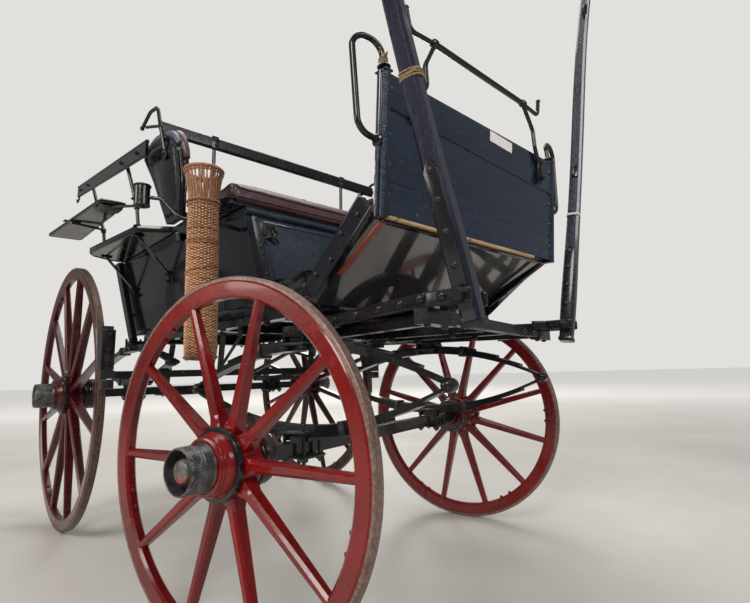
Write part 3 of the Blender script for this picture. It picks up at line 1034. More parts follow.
# bearers under the floor: bolts on the sills and spring hangers
bm = bmesh.new()
for s in (-1, 1):
    for y in (0.02, 0.30, 0.80, 1.10, 1.54):
        square_nut(bm, at_car(s * 0.275, y, 0.8503), (0, 0, -1), 0.012, 0.009, math.radians(45))
    for y in (-0.06, 0.45, 1.25):
        dome(bm, at_car(s * 0.2972, y, 0.872), (s, 0, 0), 0.010, 0.006)
    for x in (0.300, 0.420):
        square_nut(bm, at_car(s * x, 1.390, 0.8375), (0, 0, -1), 0.011, 0.008, math.radians(45))
piece("sill_bolts", bm, "iron", "carriage_body")


# ------------------------------------------------------------------ cushions: swollen closed forms with piping
def swell(name, bm, key, body, voxel, pressure, cap, frames=20):
    bmesh.ops.recalc_face_normals(bm, faces=bm.faces)
    me = bpy.data.meshes.new(name)
    bm.to_mesh(me)
    bm.free()
    ob = bpy.data.objects.new(name, me)
    scene = bpy.context.scene
    scene.collection.objects.link(ob)
    re = ob.modifiers.new("re", "REMESH")
    re.mode = "VOXEL"
    re.voxel_size = voxel
    dg = bpy.context.evaluated_depsgraph_get()
    solid = bpy.data.meshes.new_from_object(ob.evaluated_get(dg))
    ob.modifiers.clear()
    ob.data = solid
    start = [v.co.copy() for v in solid.vertices]
    cl = ob.modifiers.new("cloth", "CLOTH")
    cl.settings.quality = 4
    cl.settings.mass = 0.3
    cl.settings.tension_stiffness = 12
    cl.settings.compression_stiffness = 12
    cl.settings.bending_stiffness = 0.8
    cl.settings.use_pressure = True
    cl.settings.uniform_pressure_force = pressure
    cl.settings.effector_weights.gravity = 0
    cl.collision_settings.use_collision = False
    cl.point_cache.frame_start, cl.point_cache.frame_end = 1, frames
    for f in range(1, frames + 1):
        scene.frame_set(f)
    dg = bpy.context.evaluated_depsgraph_get()
    puffed = bpy.data.meshes.new_from_object(ob.evaluated_get(dg))
    ob.modifiers.clear()
    ob.data = puffed
    scene.frame_set(1)
    for v, s0 in zip(puffed.vertices, start):
        d = v.co - s0
        if d.length > cap:
            v.co = s0 + d.normalized() * cap
    me = ob.data
    me.materials.clear()
    me.materials.append(M[key])
    me.shade_smooth()
    sub = ob.modifiers.new("sub", "SUBSURF")
    sub.levels = sub.render_levels = 1
    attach(ob, body)
    return ob


def surface_of(ob):
    me = ob.data
    return BVHTree.FromPolygons([v.co for v in me.vertices], [p.vertices for p in me.polygons])


# the driver's long cushion: crowned, its sides pulled in, with a worn hollow at each place
bm = bmesh.new()
X, Y0, Y1, Z0, TH = 0.493, 0.176, 0.588, 1.2565, 0.066
nx, ny = 44, 16
top, low = {}, {}
for i in range(nx + 1):
    for j in range(ny + 1):
        a, b = -1 + 2 * i / nx, -1 + 2 * j / ny
        x, y = X * a, (Y0 + Y1) / 2 + (Y1 - Y0) / 2 * b
        pull = 0.010 * (1 - a * a) * b * b * 0.6
        y -= math.copysign(pull * 0.5, b) if abs(b) > 0.98 else 0
        crown = (1 - a ** 6) * (1 - b ** 4)
        dip = 0.006 * (math.exp(-((abs(x) - 0.22) / 0.13) ** 2)) * (1 - b * b)
        z = Z0 + 0.036 + (TH - 0.030) * crown ** 0.5 - dip
        top[i, j] = bm.verts.new(CAR @ Vector((x, y, z)))
        low[i, j] = bm.verts.new(CAR @ Vector((x, y, Z0)))
for i in range(nx):
    for j in range(ny):
        bm.faces.new((top[i, j], top[i + 1, j], top[i + 1, j + 1], top[i, j + 1]))
        bm.faces.new((low[i, j], low[i, j + 1], low[i + 1, j + 1], low[i + 1, j]))
for i in range(nx):
    bm.faces.new((low[i, 0], low[i + 1, 0], top[i + 1, 0], top[i, 0]))
    bm.faces.new((low[i + 1, ny], low[i, ny], top[i, ny], top[i + 1, ny]))
for j in range(ny):
    bm.faces.new((low[0, j + 1], low[0, j], top[0, j], top[0, j + 1]))
    bm.faces.new((low[nx, j], low[nx, j + 1], top[nx, j + 1], top[nx, j]))
# the front roll, hanging a little over the board's edge
ROLL = CAR @ Matrix(((0, 0, 1, 0), (1, 0, 0, 0), (0, 1, 0, 0), (0, 0, 0, 1)))
prism(bm, ROLL, [(0.1810 + 0.0090 * math.cos(2 * math.pi * k / 16), z + 0.0085 * math.sin(2 * math.pi * k / 16)) for z, ks in ((1.2505, range(8, 17)), (1.275, range(0, 9))) for k in ks], -0.466, 0.466)
cushion = swell("seat_cushion", bm, "leather", "carriage_body", 0.006, 4.0, 0.009)
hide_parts("driver_cushion")
tree = surface_of(cushion)

# piping along the top and bottom seams, laid on the swollen surface
bm = bmesh.new()
for z in (Z0 + 0.040, Z0 + 0.006):
    ring = []
    n = 150
    for k in range(n):
        t = 2 * math.pi * k / n
        c, sn = math.cos(t), math.sin(t)
        x = (X + 0.004) * math.copysign(abs(c) ** 0.16, c)
        y = (Y0 + Y1) / 2 + ((Y1 - Y0) / 2 + 0.004) * math.copysign(abs(sn) ** 0.28, sn)
        hit = tree.find_nearest(CAR @ Vector((x, y, z)))
        ring.append(hit[0] + hit[1] * 0.0008)
    tube(bm, ring, 0.0040, 8, closed=True)
# cross seams where three panels of leather meet
for x in (-0.168, 0.168):
    line = []
    for k in range(40):
        y = Y0 - 0.004 + (Y1 - Y0 + 0.008) * k / 39
        hit = tree.find_nearest(CAR @ Vector((x + 0.0016 * math.sin(k * 0.6), y, Z0 + 0.085)))
        line.append(hit[0] + hit[1] * 0.0002)
    tube(bm, line, 0.0024, 8)
# buttons
for x in (-0.334, 0.0, 0.334):
    for y in (0.29, 0.47):
        hit = tree.ray_cast(CAR @ Vector((x, y, 1.5)), Vector((0, 0, -1)))
        if hit[0] is not None:
            lathe(bm, facing(hit[0] - hit[1] * 0.001, hit[1]), ((0.0, 0.004), (0.006, 0.0034), (0.0095, 0.0010), (0.0095, -0.002), (0.0, -0.002)), 18, closed=False)
piece("seat_cushion_piping", bm, "leather", "carriage_body")

# ------------------------------------------------------------------ seat ends: padded inner faces with a fat top roll
CUSHION_Z = 1.254
for s, tag in ((-1, "right"), (1, "left")):
    lean = math.radians(9)
    plane = CAR @ Matrix.Translation((s * 0.513, 0, CUSHION_Z + 0.002)) @ Matrix((
        (0, s * math.sin(lean), math.cos(lean), 0), (1, 0, 0, 0), (0, math.cos(lean), -s * math.sin(lean), 0), (0, 0, 0, 1)))
    inward = -s
    shape = ((0.472, 0.106), (0.634, 0.106), (0.672, 0.194), (0.720, 0.296), (0.711, 0.310), (0.604, 0.320), (0.467, 0.283), (0.449, 0.243))
    bm = bmesh.new()
    prism(bm, plane, shape, inward * 0.0016, inward * 0.0265, 0.007, 3)
    pad = swell(tag + "_seat_end_pad", bm, "leather", "carriage_body", 0.0045, 3.6, 0.006)
    # piping round the pad's face
    tree = surface_of(pad)
    centre = Vector((sum(p[0] for p in shape) / len(shape), sum(p[1] for p in shape) / len(shape)))
    bm = bmesh.new()
    ring = []
    for p in smooth_line([Vector((x, y, 0)) for x, y in shape], 8, closed=True):
        q = centre.to_3d().lerp(p, 0.965)
        hit = tree.find_nearest(plane @ Vector((q.x, q.y, inward * 0.034)))
        ring.append(hit[0] + hit[1] * 0.0006)
    tube(bm, ring, 0.0034, 8, closed=True)
    piece(tag + "_seat_end_piping", bm, "leather", "carriage_body")
    # the roll over the top edge
    bm = bmesh.new()
    line = smooth_line([plane @ Vector((x, y, inward * 0.004)) for x, y in ((0.420, 0.206), (0.428, 0.262), (0.456, 0.306), (0.520, 0.326), (0.604, 0.342), (0.682, 0.339), (0.742, 0.324))], 8)
    tube(bm, line, 0.0150, 14, taper=lambda t: 0.80 + 0.35 * math.sin(math.pi * min(max(t, 0.0), 1.0)) ** 0.5)
    piece(tag + "_seat_end_roll", bm, "leather", "carriage_body", None)
    bm = bmesh.new()
    line = smooth_line([plane @ Vector((x, y, s * 0.0145)) for x, y in ((0.426, 0.262), (0.456, 0.304), (0.520, 0.3275), (0.604, 0.3435), (0.676, 0.3410), (0.728, 0.328))], 8)
    tube(bm, line, 0.0120, 14, taper=lambda t: 0.80 + 0.35 * math.sin(math.pi * min(max(t, 0.0), 1.0)) ** 0.5)
    piece(tag + "_seat_end_top_roll", bm, "leather_blue", "carriage_body", None)
    # studs along the edge and bolts on the outer face
    bm = bmesh.new()
    outer = s * 0.0262
    for p in smooth_line([Vector((x, y, 0)) for x, y in ((0.496, 0.030), (0.446, 0.136), (0.436, 0.244), (0.458, 0.292), (0.602, 0.330), (0.734, 0.322), (0.741, 0.309), (0.682, 0.206), (0.606, 0.024))], 6):
        dome(bm, plane @ Vector((p.x, p.y, outer)), plane.to_3x3() @ Vector((0, 0, s)), 0.0036, 0.0022)
    for x, y in ((0.518, 0.028), (0.556, 0.028), (0.592, 0.028)):
        square_nut(bm, plane @ Vector((x, y, outer)), plane.to_3x3() @ Vector((0, 0, s)), 0.0095, 0.006, math.radians(45))
    # thin iron edge down the front of the end
    tube(bm, smooth_line([plane @ Vector((x, y, s * 0.013)) for x, y in ((0.4885, 0.003), (0.4620, 0.062), (0.4345, 0.126), (0.4285, 0.186), (0.4240, 0.238))], 4), 0.0120, 12, flat=0.6)
    piece(tag + "_seat_end_studs", bm, "iron", "carriage_body")
    # the outer face swells out in a smooth panel
    bm = bmesh.new()
    rim = smooth_line([Vector((x, y, 0)) for x, y in ((0.508, 0.050), (0.462, 0.140), (0.450, 0.242), (0.468, 0.280), (0.604, 0.317), (0.722, 0.311), (0.668, 0.206), (0.606, 0.050))], 6, closed=True)
    mid = sum(rim, Vector((0, 0, 0))) / len(rim)
    rings = []
    for step in range(9):
        share = step / 9
        rise = 0.0245 + 0.0150 * math.sin(math.pi / 2 * share) ** 0.8
        rings.append([bm.verts.new(plane @ (mid.lerp(p, 1 - share) + Vector((0, 0, s * rise)))) for p in rim])
    tip = bm.verts.new(plane @ (mid + Vector((0, 0, s * 0.0395))))
    foot = bm.verts.new(plane @ (mid + Vector((0, 0, s * 0.0245))))
    for a, b in zip(rings, rings[1:]):
        for k in range(len(rim)):
            j = (k + 1) % len(rim)
            bm.faces.new((a[k], a[j], b[j], b[k]))
    for k in range(len(rim)):
        j = (k + 1) % len(rim)
        bm.faces.new((rings[-1][k], rings[-1][j], tip))
        bm.faces.new((rings[0][j], rings[0][k], foot))
    piece(tag + "_seat_end_panel", bm, "body", "carriage_body", 50.0)
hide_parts("seat_end_pads")
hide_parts("seat_end_pads")

# back rail: end caps, straps and post feet
bm = bmesh.new()
for s in (-1, 1):
    for x in (0.350,):
        m = facing(at_car(s * x, 0.620, 1.330), (0, 0, 1))
        lathe(bm, m, ((0.0, 0.006), (0.010, 0.006), (0.016, 0.001), (0.022, -0.003), (0.0, -0.003)), 24, closed=False)
        block(bm, facing(at_car(s * x, 0.6000, 1.652), (0, -1, 0)), 0.030, 0.056, 0.003, 0.001)
        dome(bm, at_car(s * x, 0.5984, 1.664), (0, -1, 0), 0.0062)
        dome(bm, at_car(s * x, 0.5984, 1.640), (0, -1, 0), 0.0062)
    nut(bm, at_car(s * 0.5722, 0.612, 1.652), (s, 0, 0), 0.011, 0.008)
    for z in (1.500, 1.560):
        block(bm, facing(at_car(s * 0.590, 0.509, z), (s, 0, 0)), 0.022, 0.020, 0.020, 0.004)
piece("back_rail_fittings", bm, "iron", "carriage_body")

# ------------------------------------------------------------------ lamp sockets: rims, lugs and screws
bm = bmesh.new()
for s in (-1, 1):
    m = place(CAR, s * 0.660, 0.526, 0)
    lathe(bm, m, ((0.0235, 1.3515), (0.0300, 1.3515), (0.0312, 1.3545), (0.0295, 1.3580), (0.0250, 1.3590), (0.0235, 1.3575)), 40)
    lathe(bm, m, ((0.0265, 1.2785), (0.0285, 1.2787), (0.0290, 1.2810), (0.0283, 1.2830), (0.0265, 1.2832)), 40)
    nut(bm, at_car(s * 0.6875, 0.526, 1.300), (s, 0, 0), 0.0065, 0.006)
    lathe(bm, m, ((0.0, 1.2720), (0.006, 1.2725), (0.010, 1.2770), (0.010, 1.2795), (0.0, 1.2795)), 20, closed=False)
    block(bm, place(CAR, s * 0.500, 0.431, 1.2295), 0.046, 0.022, 0.0055, 0.0016)
    for x in (0.487, 0.513):
        dome(bm, at_car(s * x, 0.431, 1.2268), (0, 0, -1), 0.0052)
piece("lamp_socket_rims", bm, "iron", "carriage_body")

# ------------------------------------------------------------------ wicker umbrella basket, woven strand by strand
BX, BY, BR = -0.575, 0.187, 0.0445
BZ0, BZ1 = 0.706, 1.322
BODY_TOP = 1.206
N = 28


def basket_r(z):
    if z < BZ0 + 0.02:
        return BR - 0.004 + 0.004 * (z - BZ0) / 0.02
    if z < BODY_TOP:
        return BR + 0.0010 * math.sin((z - BZ0) * 9)
    t = (z - BODY_TOP) / (BZ1 - BODY_TOP)
    return BR + 0.0005 + 0.0148 * t ** 1.5


stakes = bmesh.new()
for k in range(N):
    a = 2 * math.pi * k / N
    line = []
    for j in range(34):
        z = BZ0 + 0.003 + (BZ1 - 0.006 - BZ0) * j / 33
        wob = 0.0010 * math.sin(j * 0.9 + k)
        aa = a + 0.050 * math.sin(k * 2.4) * max(0.0, (z - BODY_TOP) / (BZ1 - BODY_TOP)) + wob
        line.append(at_car(BX + basket_r(z) * math.cos(aa), BY + basket_r(z) * math.sin(aa), z))
    tube(stakes, line, 0.0019, 6)
    # two more stakes that cross it in the open collar
    for start, lean in ((0.112, -0.190), (0.060, 0.170)):
        line = []
        for j in range(9):
            z = BODY_TOP - 0.004 + (BZ1 - BODY_TOP - 0.004) * j / 8
            aa = a + start + lean * (z - BODY_TOP) / (BZ1 - BODY_TOP) * (1.0 if k % 3 else 0.5)
            r = basket_r(z) - 0.0026 if lean > 0 else basket_r(z)
            line.append(at_car(BX + r * math.cos(aa), BY + r * math.sin(aa), z))
        tube(stakes, line, 0.0021, 5)
piece("basket_stakes", stakes, "wicker_top", "carriage_body", None, weld=False)

weave = bmesh.new()
pitch = 0.0044
rows = int((BODY_TOP - BZ0 - 0.006) / pitch)
seg_n = N * 4
for i in range(rows):
    z = BZ0 + 0.004 + i * pitch
    sag = 0.0007 * math.sin(i * 1.7)
    line = []
    for k in range(seg_n):
        a = 2 * math.pi * k / seg_n
        over = math.cos(math.pi * (k + (seg_n // N) * (i % 2)) / (seg_n // N) * 1.0)
        r = basket_r(z) + 0.0034 * over
        line.append(at_car(BX + r * math.cos(a), BY + r * math.sin(a), z + sag + 0.0006 * math.sin(a * 3 + i)))
    tube(weave, line, 0.0020, 5, closed=True)
basket = piece("basket_weave", weave, "wicker", "carriage_body", None, weld=False)
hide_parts("umbrella_basket")

bands = bmesh.new()


def twist_band(z, thick, strands, waves, lift=0.0, r_add=0.0035, tilt=0.0):
    for q in range(strands):
        line = []
        n = waves * 8
        for k in range(n):
            a = 2 * math.pi * k / n
            b = a * waves + 2 * math.pi * q / strands
            r = basket_r(z) + r_add + thick * 0.8 * math.cos(b)
            line.append(at_car(BX + r * math.cos(a), BY + r * math.sin(a), z + lift + tilt * math.cos(a + 0.6) + thick * 0.9 * math.sin(b)))
        tube(bands, line, thick, 6, closed=True)


twist_band(BODY_TOP + 0.006, 0.0026, 2, 15)
twist_band(BODY_TOP - 0.006, 0.0026, 2, 15)
twist_band(1.120, 0.0024, 2, 15)
twist_band(1.082, 0.0026, 2, 15)
twist_band(1.074, 0.0022, 2, 15)
twist_band(0.990, 0.0024, 2, 15, tilt=0.012)
twist_band(BZ0 + 0.010, 0.0030, 2, 15)
twist_band(BZ1 - 0.003, 0.0036, 3, 13, r_add=-0.0005)
twist_band(BZ1 - 0.014, 0.0026, 2, 15, r_add=0.0010)
piece("basket_bands", bands, "wicker_top", "carriage_body", None, weld=False)

# the woven bottom and the two straps that hold the basket to the side
bm = bmesh.new()
for k in range(9):
    r = 0.004 + 0.0048 * k
    tube(bm, [at_car(BX + r * math.cos(2 * math.pi * j / 24), BY + r * math.sin(2 * math.pi * j / 24), BZ0 + 0.004 + 0.0008 * math.cos(j * 1.5 + k)) for j in range(24)], 0.0026, 6, closed=True)
piece("basket_bottom", bm, "wicker", "carriage_body", None, weld=False)

bm = bmesh.new()
for z in (0.955, 1.165):
    r = basket_r(z) + 0.0070
    ring = [at_car(BX + r * math.cos(2 * math.pi * j / 48), BY + r * math.sin(2 * math.pi * j / 48), z) for j in range(48)]
    inner = half_at(z) + 0.020
    a = at_car(BX + r * 0.8, BY + r * 0.5, z)
    b = at_car(-inner - 0.002, 0.245 if z > 1.0 else 0.240, z)
    bar(bm, a, b, 0.016, 0.004, (0, 1, 0), 0.0012)
piece("basket_brackets", bm, "iron", "carriage_body")

# ------------------------------------------------------------------ rear: bench edges, padded bench tops, rails, mudguards, door
BENCH = ((0.262, 0.820), (0.282, 0.800), (0.425, 0.800), (0.566, 0.880), (0.626, 1.395), (0.596, 1.447), (0.510, 1.495), (0.282, 1.519), (0.262, 1.499))
bm = bmesh.new()
bolts = bmesh.new()
for s in (-1, 1):
    pts = [Vector((s * x, y, 1.297)) for x, y in BENCH]
    for a, b in zip(pts, pts[1:] + pts[:1]):
        mid = (a + b) / 2
        d = (b - a).normalized()
        out = Vector((d.y, -d.x, 0)) * (1 if s > 0 else -1)
        centre = Vector((s * 0.43, 1.15, 1.297))
        if (mid - centre).dot(out) < 0:
            out = -out
        bar(bm, CAR @ (a + out * 0.0022 - d * 0.001), CAR @ (b + out * 0.0022 + d * 0.001), 0.0068, 0.030, (0, 0, 1), 0.0022)
        n = max(1, int((b - a).length / 0.13))
        for k in range(n):
            dome(bolts, CAR @ (a.lerp(b, (k + 0.5) / n) + out * 0.0056), out, 0.0044, 0.0026)
piece("bench_edge_beads", bm, "body", "carriage_body")
piece("bench_edge_screws", bolts, "iron", "carriage_body")

# bench stays: bolts at both ends
bm = bmesh.new()
for s in (-1, 1):
    for y in (0.930, 1.420):
        foot = half_at(1.130) + 0.018 + 0.005
        out = Vector((s * math.cos(FLARE), 0, -math.sin(FLARE)))
        for z in (1.092, 1.124):
            nut(bm, CAR @ Vector((s * (foot + 0.004 + (z - 1.09) * 0.1), y, z)) + out * 0.004, out, 0.0085, 0.006)
        block(bm, place(CAR, s * 0.548, y, 1.2815), 0.050, 0.024, 0.006, 0.0015)
        for x in (0.532, 0.564):
            dome(bm, at_car(s * x, y, 1.2788), (0, 0, -1), 0.0058)
piece("bench_stay_bolts", bm, "iron", "carriage_body")

# rails: rounded top bead, end hooks and black fittings
bm = bmesh.new()
rail = bmesh.new()


def on_rail(s, y, dx=0.0, dz=0.0):
    t = (y - 0.615) / 1.145
    return Vector((s * (0.622 + dx), y, 1.549 + (1.716 - 1.549) * t + dz))


for s in (-1, 1):
    a, b = on_rail(s, 0.612, 0, 0.0262), on_rail(s, 1.762, 0, 0.0262)
    tube(rail, [CAR @ a, CAR @ b], 0.0082, 12)
    a, b = on_rail(s, 0.612, 0, -0.0262), on_rail(s, 1.762, 0, -0.0262)
    tube(rail, [CAR @ a, CAR @ b], 0.0070, 12)
    for y, w in ((0.928, 0.044), (1.520, 0.044), (0.720, 0.030), (1.690, 0.030)):
        m = facing(CAR @ on_rail(s, y, -0.0072), (-s, 0, 0), (0, 1.0, 0.146))
        block(bm, m, 0.052, w, 0.0045, 0.0016)
        for o in (-0.012, 0.012):
            dome(bm, m @ Vector((0, o, 0.0022)), (-s, 0, 0), 0.0062)
        m = facing(CAR @ on_rail(s, y, 0.0072), (s, 0, 0), (0, 1.0, 0.146))
        nut(bm, m @ Vector((0, 0, 0.0)), (s, 0, 0), 0.0080, 0.006)
    # hook under the rear end
    hook = [CAR @ on_rail(s, 1.735, 0, -0.028), CAR @ on_rail(s, 1.738, 0.002, -0.048), CAR @ on_rail(s, 1.750, 0.004, -0.062), CAR @ on_rail(s, 1.768, 0.004, -0.058), CAR @ on_rail(s, 1.774, 0.003, -0.044)]
    tube(bm, smooth_line(hook, 6), 0.0045, 8)
    # collars and plates at the feet of the irons
    for y, foot, lean, ax, ay in ((0.890, 0.560, 0.038, 0.650, 1.010), (1.350, 0.576, 0.170, 0.722, 1.350)):
        m = place(CAR, s * foot, y, 1.309)
        lathe(bm, m, ((0.0, 0.0095), (0.012, 0.0095), (0.0195, 0.0050), (0.0210, 0.0), (0.0, 0.0)), 28, closed=False)
        for k in range(3):
            q = 2 * math.pi * k / 3 + 0.5
            dome(bm, m @ Vector((0.0148 * math.cos(q), 0.0148 * math.sin(q), 0.0062)), (0, 0, 1), 0.0035)
        lathe(bm, place(CAR, s * (foot + 0.0066), y + 0.006, 1.398), ((0.0075, -0.012), (0.0120, -0.008), (0.0132, 0.0), (0.0120, 0.009), (0.0075, 0.013)), 24)
        # plate under the mudguard
        m = place(CAR, s * ax, ay, 1.4168)
        block(bm, m, 0.070, 0.030, 0.0055, 0.0018)
        for o in (-0.024, 0.024):
            dome(bm, m @ Vector((o, 0, -0.0028)), (0, 0, -1), 0.0062)
piece("rail_beads", rail, "body", "carriage_body")
piece("rail_fittings", bm, "iron", "carriage_body")

# mudguards: rolled edges, and a padded flap at the near end
bm = bmesh.new()
flap = bmesh.new()
for s in (-1, 1):
    pts = [Vector((s * x, y, 1.427)) for x, y in ((0.594, 0.975), (0.688, 0.987), (0.755, 1.697), (0.616, 1.688))]
    line = []
    for a, b, c in zip(pts[-1:] + pts[:-1], pts, pts[1:] + pts[:1]):
        line += [b.lerp(a, 0.016 / (a - b).length), b.lerp(a, 0.004 / (a - b).length) * 0.5 + b.lerp(c, 0.004 / (c - b).length) * 0.5, b.lerp(c, 0.016 / (c - b).length)]
    tube(bm, [CAR @ p for p in line], 0.0086, 10, closed=True)
    for x0, x1, y0, y1 in ((0.596, 0.686, 0.990, 1.062),):
        prism(flap, place(CAR, 0, 0, 0), [(s * x, y) for x, y in ((x0, y0), (x1, y0 + 0.006), (x1 + 0.006, y1), (x0 + 0.001, y1))], 1.4045, 1.4190, 0.0055, 3)
        prism(flap, place(CAR, 0, 0, 0), [(s * x, y) for x, y in ((x0, y0), (x1, y0 + 0.006), (x1 + 0.006, y1), (x0 + 0.001, y1))], 1.4350, 1.4420, 0.0030, 3)
piece("mudguard_beads", bm, "iron", "carriage_body")
piece("mudguard_pads", flap, "leather_black", "carriage_body")

# rear door: frame, hinges, latch and handle; mouldings on the corner posts
bm = bmesh.new()
iron = bmesh.new()
z0, z1 = 0.921, 1.240
y_out = 1.564 + 0.0012
for (xa, za), (xb, zb) in (((-0.300, 0.936), (0.300, 0.936)), ((-0.352, 1.226), (0.352, 1.226)), ((-0.300, 0.936), (-0.352, 1.226)), ((0.300, 0.936), (0.352, 1.226)),
                           ((-0.325, 1.080), (0.325, 1.080))):
    bar(bm, at_car(xa, y_out + 0.0020, za), at_car(xb, y_out + 0.0020, zb), 0.026, 0.006, (0, 1, 0), 0.002)
piece("rear_door_frame", bm, "body", "rear_door_body")
for z in (0.985, 1.175):
    x = 0.312 + 0.060 * (z - z0) / (z1 - z0)
    bar(iron, at_car(x - 0.150, y_out + 0.006, z), at_car(x + 0.006, y_out + 0.006, z), 0.024, 0.005, (0, 1, 0), 0.0014)
    for o in (0.02, 0.075, 0.130):
        dome(iron, at_car(x - o, y_out + 0.0086, z), (0, 1, 0), 0.0058)
m = facing(at_car(-0.300, y_out + 0.0052, 1.130), (0, 1, 0))
block(iron, m, 0.040, 0.060, 0.005, 0.0016)
tube(iron, smooth_line([at_car(-0.300, y_out + 0.006, 1.130), at_car(-0.300, y_out + 0.024, 1.128), at_car(-0.288, y_out + 0.030, 1.124), at_car(-0.258, y_out + 0.030, 1.120)], 6), 0.0058, 10)
piece("rear_door_irons", iron, "iron", "rear_door_body")

bm = bmesh.new()
for s in (-1, 1):
    x0_, x1_ = half_at(0.895) + 0.038, half_at(1.285) + 0.038
    for z in (0.94, 1.02, 1.10, 1.18, 1.25):
        x = x0_ + (x1_ - x0_) * (z - 0.895) / 0.39
        dome(bm, at_car(s * (x + 0.0135), 1.528, z), (s, 0, -0.23), 0.0060, 0.004)
    if s > 0:
        continue
    # grab handle beside the door, on the side away from its hinges
    xa = half_at(1.00) + 0.030
    tube(bm, smooth_line([at_car(s * xa, 1.5625, 1.00), at_car(s * (xa + 0.003), 1.590, 1.006), at_car(s * (xa + 0.012), 1.600, 1.06), at_car(s * (xa + 0.026), 1.600, 1.16), at_car(s * (xa + 0.036), 1.590, 1.214), at_car(s * (xa + 0.038), 1.5625, 1.220)], 6), 0.0068, 10)
piece("corner_post_irons", bm, "iron", "carriage_body")

# step: ribbed tread plate and bolts
bm = bmesh.new()
for k in range(9):
    y = 1.560 + 0.083 + 0.0165 * k
    bar(bm, at_car(-0.150, y, 0.5725), at_car(0.150, y, 0.5725), 0.006, 0.0035, (0, 0, 1), 0.0012)
for a, b in (((-0.160, 1.631), (0.160, 1.631)), ((0.160, 1.631), (0.160, 1.789)), ((0.160, 1.789), (-0.160, 1.789)), ((-0.160, 1.789), (-0.160, 1.631))):
    bar(bm, at_car(a[0], a[1], 0.5675), at_car(b[0], b[1], 0.5675), 0.009, 0.020, (0, 0, 1), 0.002)
for s in (-1, 1):
    for z in (0.862, 0.880):
        dome(bm, at_car(s * 0.130, 1.6202, z), (0, 1, 0), 0.0066)
    for y in (1.640,):
        square_nut(bm, at_car(s * 0.145, 1.70, 0.5598), (0, 0, -1), 0.009, 0.006, math.radians(45))
piece("step_tread", bm, "iron", "carriage_body")

# brake: iron shoes behind the worn blocks, bolts, a screw rod and its small box
bm = bmesh.new()
worn = bmesh.new()
BRAKE = 0.758
for s in (-1, 1):
    block(bm, place(CAR, s * 0.692, BRAKE - 0.0165, 0.770, 3), 0.046, 0.006, 0.150, 0.002)
    for z in (0.715, 0.770, 0.825):
        square_nut(bm, at_car(s * 0.692, BRAKE - 0.0185 + (z - 0.77) * -0.05, z), (0, -1, 0), 0.0115, 0.009, math.radians(45))
    block(worn, place(CAR, s * 0.688, BRAKE - 0.001, 0.640), 0.042, 0.030, 0.036, 0.003)
    nut(bm, at_car(s * 0.688, BRAKE - 0.0165, 0.640), (0, -1, 0), 0.010, 0.008)
    for x in (0.60, 0.40, 0.24, 0.10):
        dome(bm, at_car(s * x, BRAKE - 0.0125, 0.674), (0, -1, 0), 0.0075)
    tube(bm, [at_car(s * 0.240, BRAKE - 0.014, 0.700), at_car(s * 0.240, BRAKE - 0.20, 0.828)], 0.0070, 10)
    block(bm, place(CAR, s * 0.240, BRAKE - 0.21, 0.836), 0.028, 0.040, 0.028, 0.003)
tube(bm, [at_car(-0.08, BRAKE - 0.012, 0.674), at_car(-0.08, 0.30, 0.786)], 0.0085, 12)
block(bm, place(CAR, -0.08, 0.30, 0.802, 8), 0.034, 0.050, 0.088, 0.004)
piece("brake_irons", bm, "iron", "carriage_body")
piece("brake_feet", worn, "iron_worn", "carriage_body")

# grab loops: flattened feet with screws
bm = bmesh.new()
for s in (-1, 1):
    block(bm, facing(at_car(s * 0.5895, 0.5065, 1.492), (s, 0, 0.16)), 0.026, 0.040, 0.008, 0.003)
    for z in (1.482, 1.502):
        dome(bm, at_car(s * 0.5940, 0.5065, z), (s, 0, 0), 0.0050)
    lathe(bm, facing(at_car(s * 0.606, 0.735, 1.684), (0, 0.95, -0.31)), ((0.0, 0.009), (0.006, 0.007), (0.0095, 0.001), (0.0085, -0.006), (0.0, -0.007)), 18, closed=False)
piece("grab_loop_feet", bm, "iron", "carriage_body")

# ------------------------------------------------------------------ floor, lights, backdrop colour
def floor():
    n = Net("studio_floor")
    c = n.mix(n.remap(n.noise(1.1, 4), 0.35, 0.7), (0.60, 0.585, 0.555), (0.68, 0.665, 0.635))
    n.set(Base_Color=c, Roughness=0.42)
    # the far floor fades into the pale backdrop
    far = n.node("ShaderNodeVectorMath", operation="LENGTH")
    n.link(n.tc.outputs["Object"], far.inputs[0])
    fade = n.remap(far.outputs["Value"], 3.2, 10.0)
    seen = n.node("ShaderNodeLightPath")
    n.set(Emission_Color=(0.80, 0.785, 0.76), Emission_Strength=n.math("MULTIPLY", n.math("MULTIPLY", fade, 0.62), seen.outputs["Is Camera Ray"]))
    bm = bmesh.new()
    R = 60.0
    vs = [bm.verts.new((x, y, -0.0005)) for x, y in ((-R, -R), (R, -R), (R, R), (-R, R))]
    bm.faces.new(vs)
    me = bpy.data.meshes.new("floor")
    bm.to_mesh(me)
    bm.free()
    ob = bpy.data.objects.new("floor", me)
    bpy.context.scene.collection.objects.link(ob)
    me.materials.append(n.m)


floor()


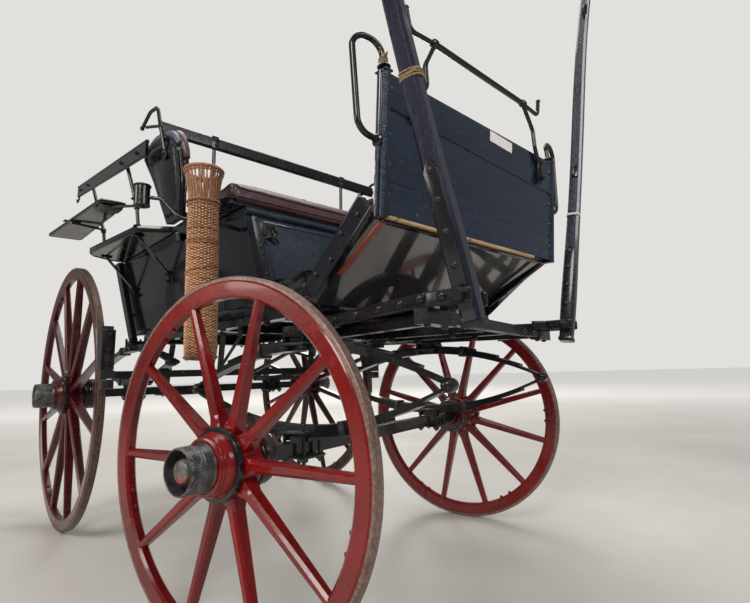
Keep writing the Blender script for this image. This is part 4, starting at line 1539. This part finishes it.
def area(name, at, to, w, h, power, rgb):
    data = bpy.data.lights.new(name, "AREA")
    data.shape = "RECTANGLE"
    data.size, data.size_y = w, h
    data.energy = power
    data.color = rgb
    ob = bpy.data.objects.new(name, data)
    bpy.context.scene.collection.objects.link(ob)
    ob.location = at
    ob.rotation_euler = (Vector(to) - Vector(at)).to_track_quat("-Z", "Y").to_euler()


area("key", (-4.4, -3.0, 4.2), (0, 0, 0.9), 2.4, 2.0, 200, (1.0, 0.95, 0.88))
area("front", (0.8, -6.4, 4.0), (0.1, -0.4, 0.9), 3.0, 1.6, 105, (0.97, 0.98, 1.0))
area("left_side", (-5.2, 1.6, 2.4), (0, 0.4, 0.8), 2.2, 1.6, 80, (1.0, 0.93, 0.84))
area("top", (0.4, 0.6, 5.2), (0, 0.2, 0), 3.6, 3.6, 130, (1.0, 0.98, 0.95))
area("rear_rim", (3.8, 4.4, 3.4), (0, 0.4, 1.0), 2.4, 2.0, 100, (1.0, 0.97, 0.92))
area("far_floor", (7.0, 8.0, 6.5), (6.0, 7.0, 0), 10.0, 10.0, 520, (1.0, 0.98, 0.95))
bpy.data.objects["far_floor"].visible_camera = False
bpy.data.objects["far_floor"].visible_glossy = False

world = bpy.data.worlds.new("studio")
bpy.context.scene.world = world
world.use_nodes = True
tree_w = world.node_tree
seen = tree_w.nodes["Background"]
seen.inputs[0].default_value = (0.80, 0.785, 0.76, 1)
seen.inputs[1].default_value = 0.95
lit = tree_w.nodes.new("ShaderNodeBackground")
lit.inputs[0].default_value = (0.86, 0.84, 0.80, 1)
lit.inputs[1].default_value = 0.22
path = tree_w.nodes.new("ShaderNodeLightPath")
both = tree_w.nodes.new("ShaderNodeMixShader")
tree_w.links.new(path.outputs["Is Camera Ray"], both.inputs[0])
tree_w.links.new(lit.outputs[0], both.inputs[1])
tree_w.links.new(seen.outputs[0], both.inputs[2])
tree_w.links.new(both.outputs[0], tree_w.nodes["World Output"].inputs["Surface"])
bpy.context.scene.view_settings.view_transform = "Standard"
bpy.context.scene.view_settings.look = "None"
bpy.context.scene.view_settings.exposure = 0.0
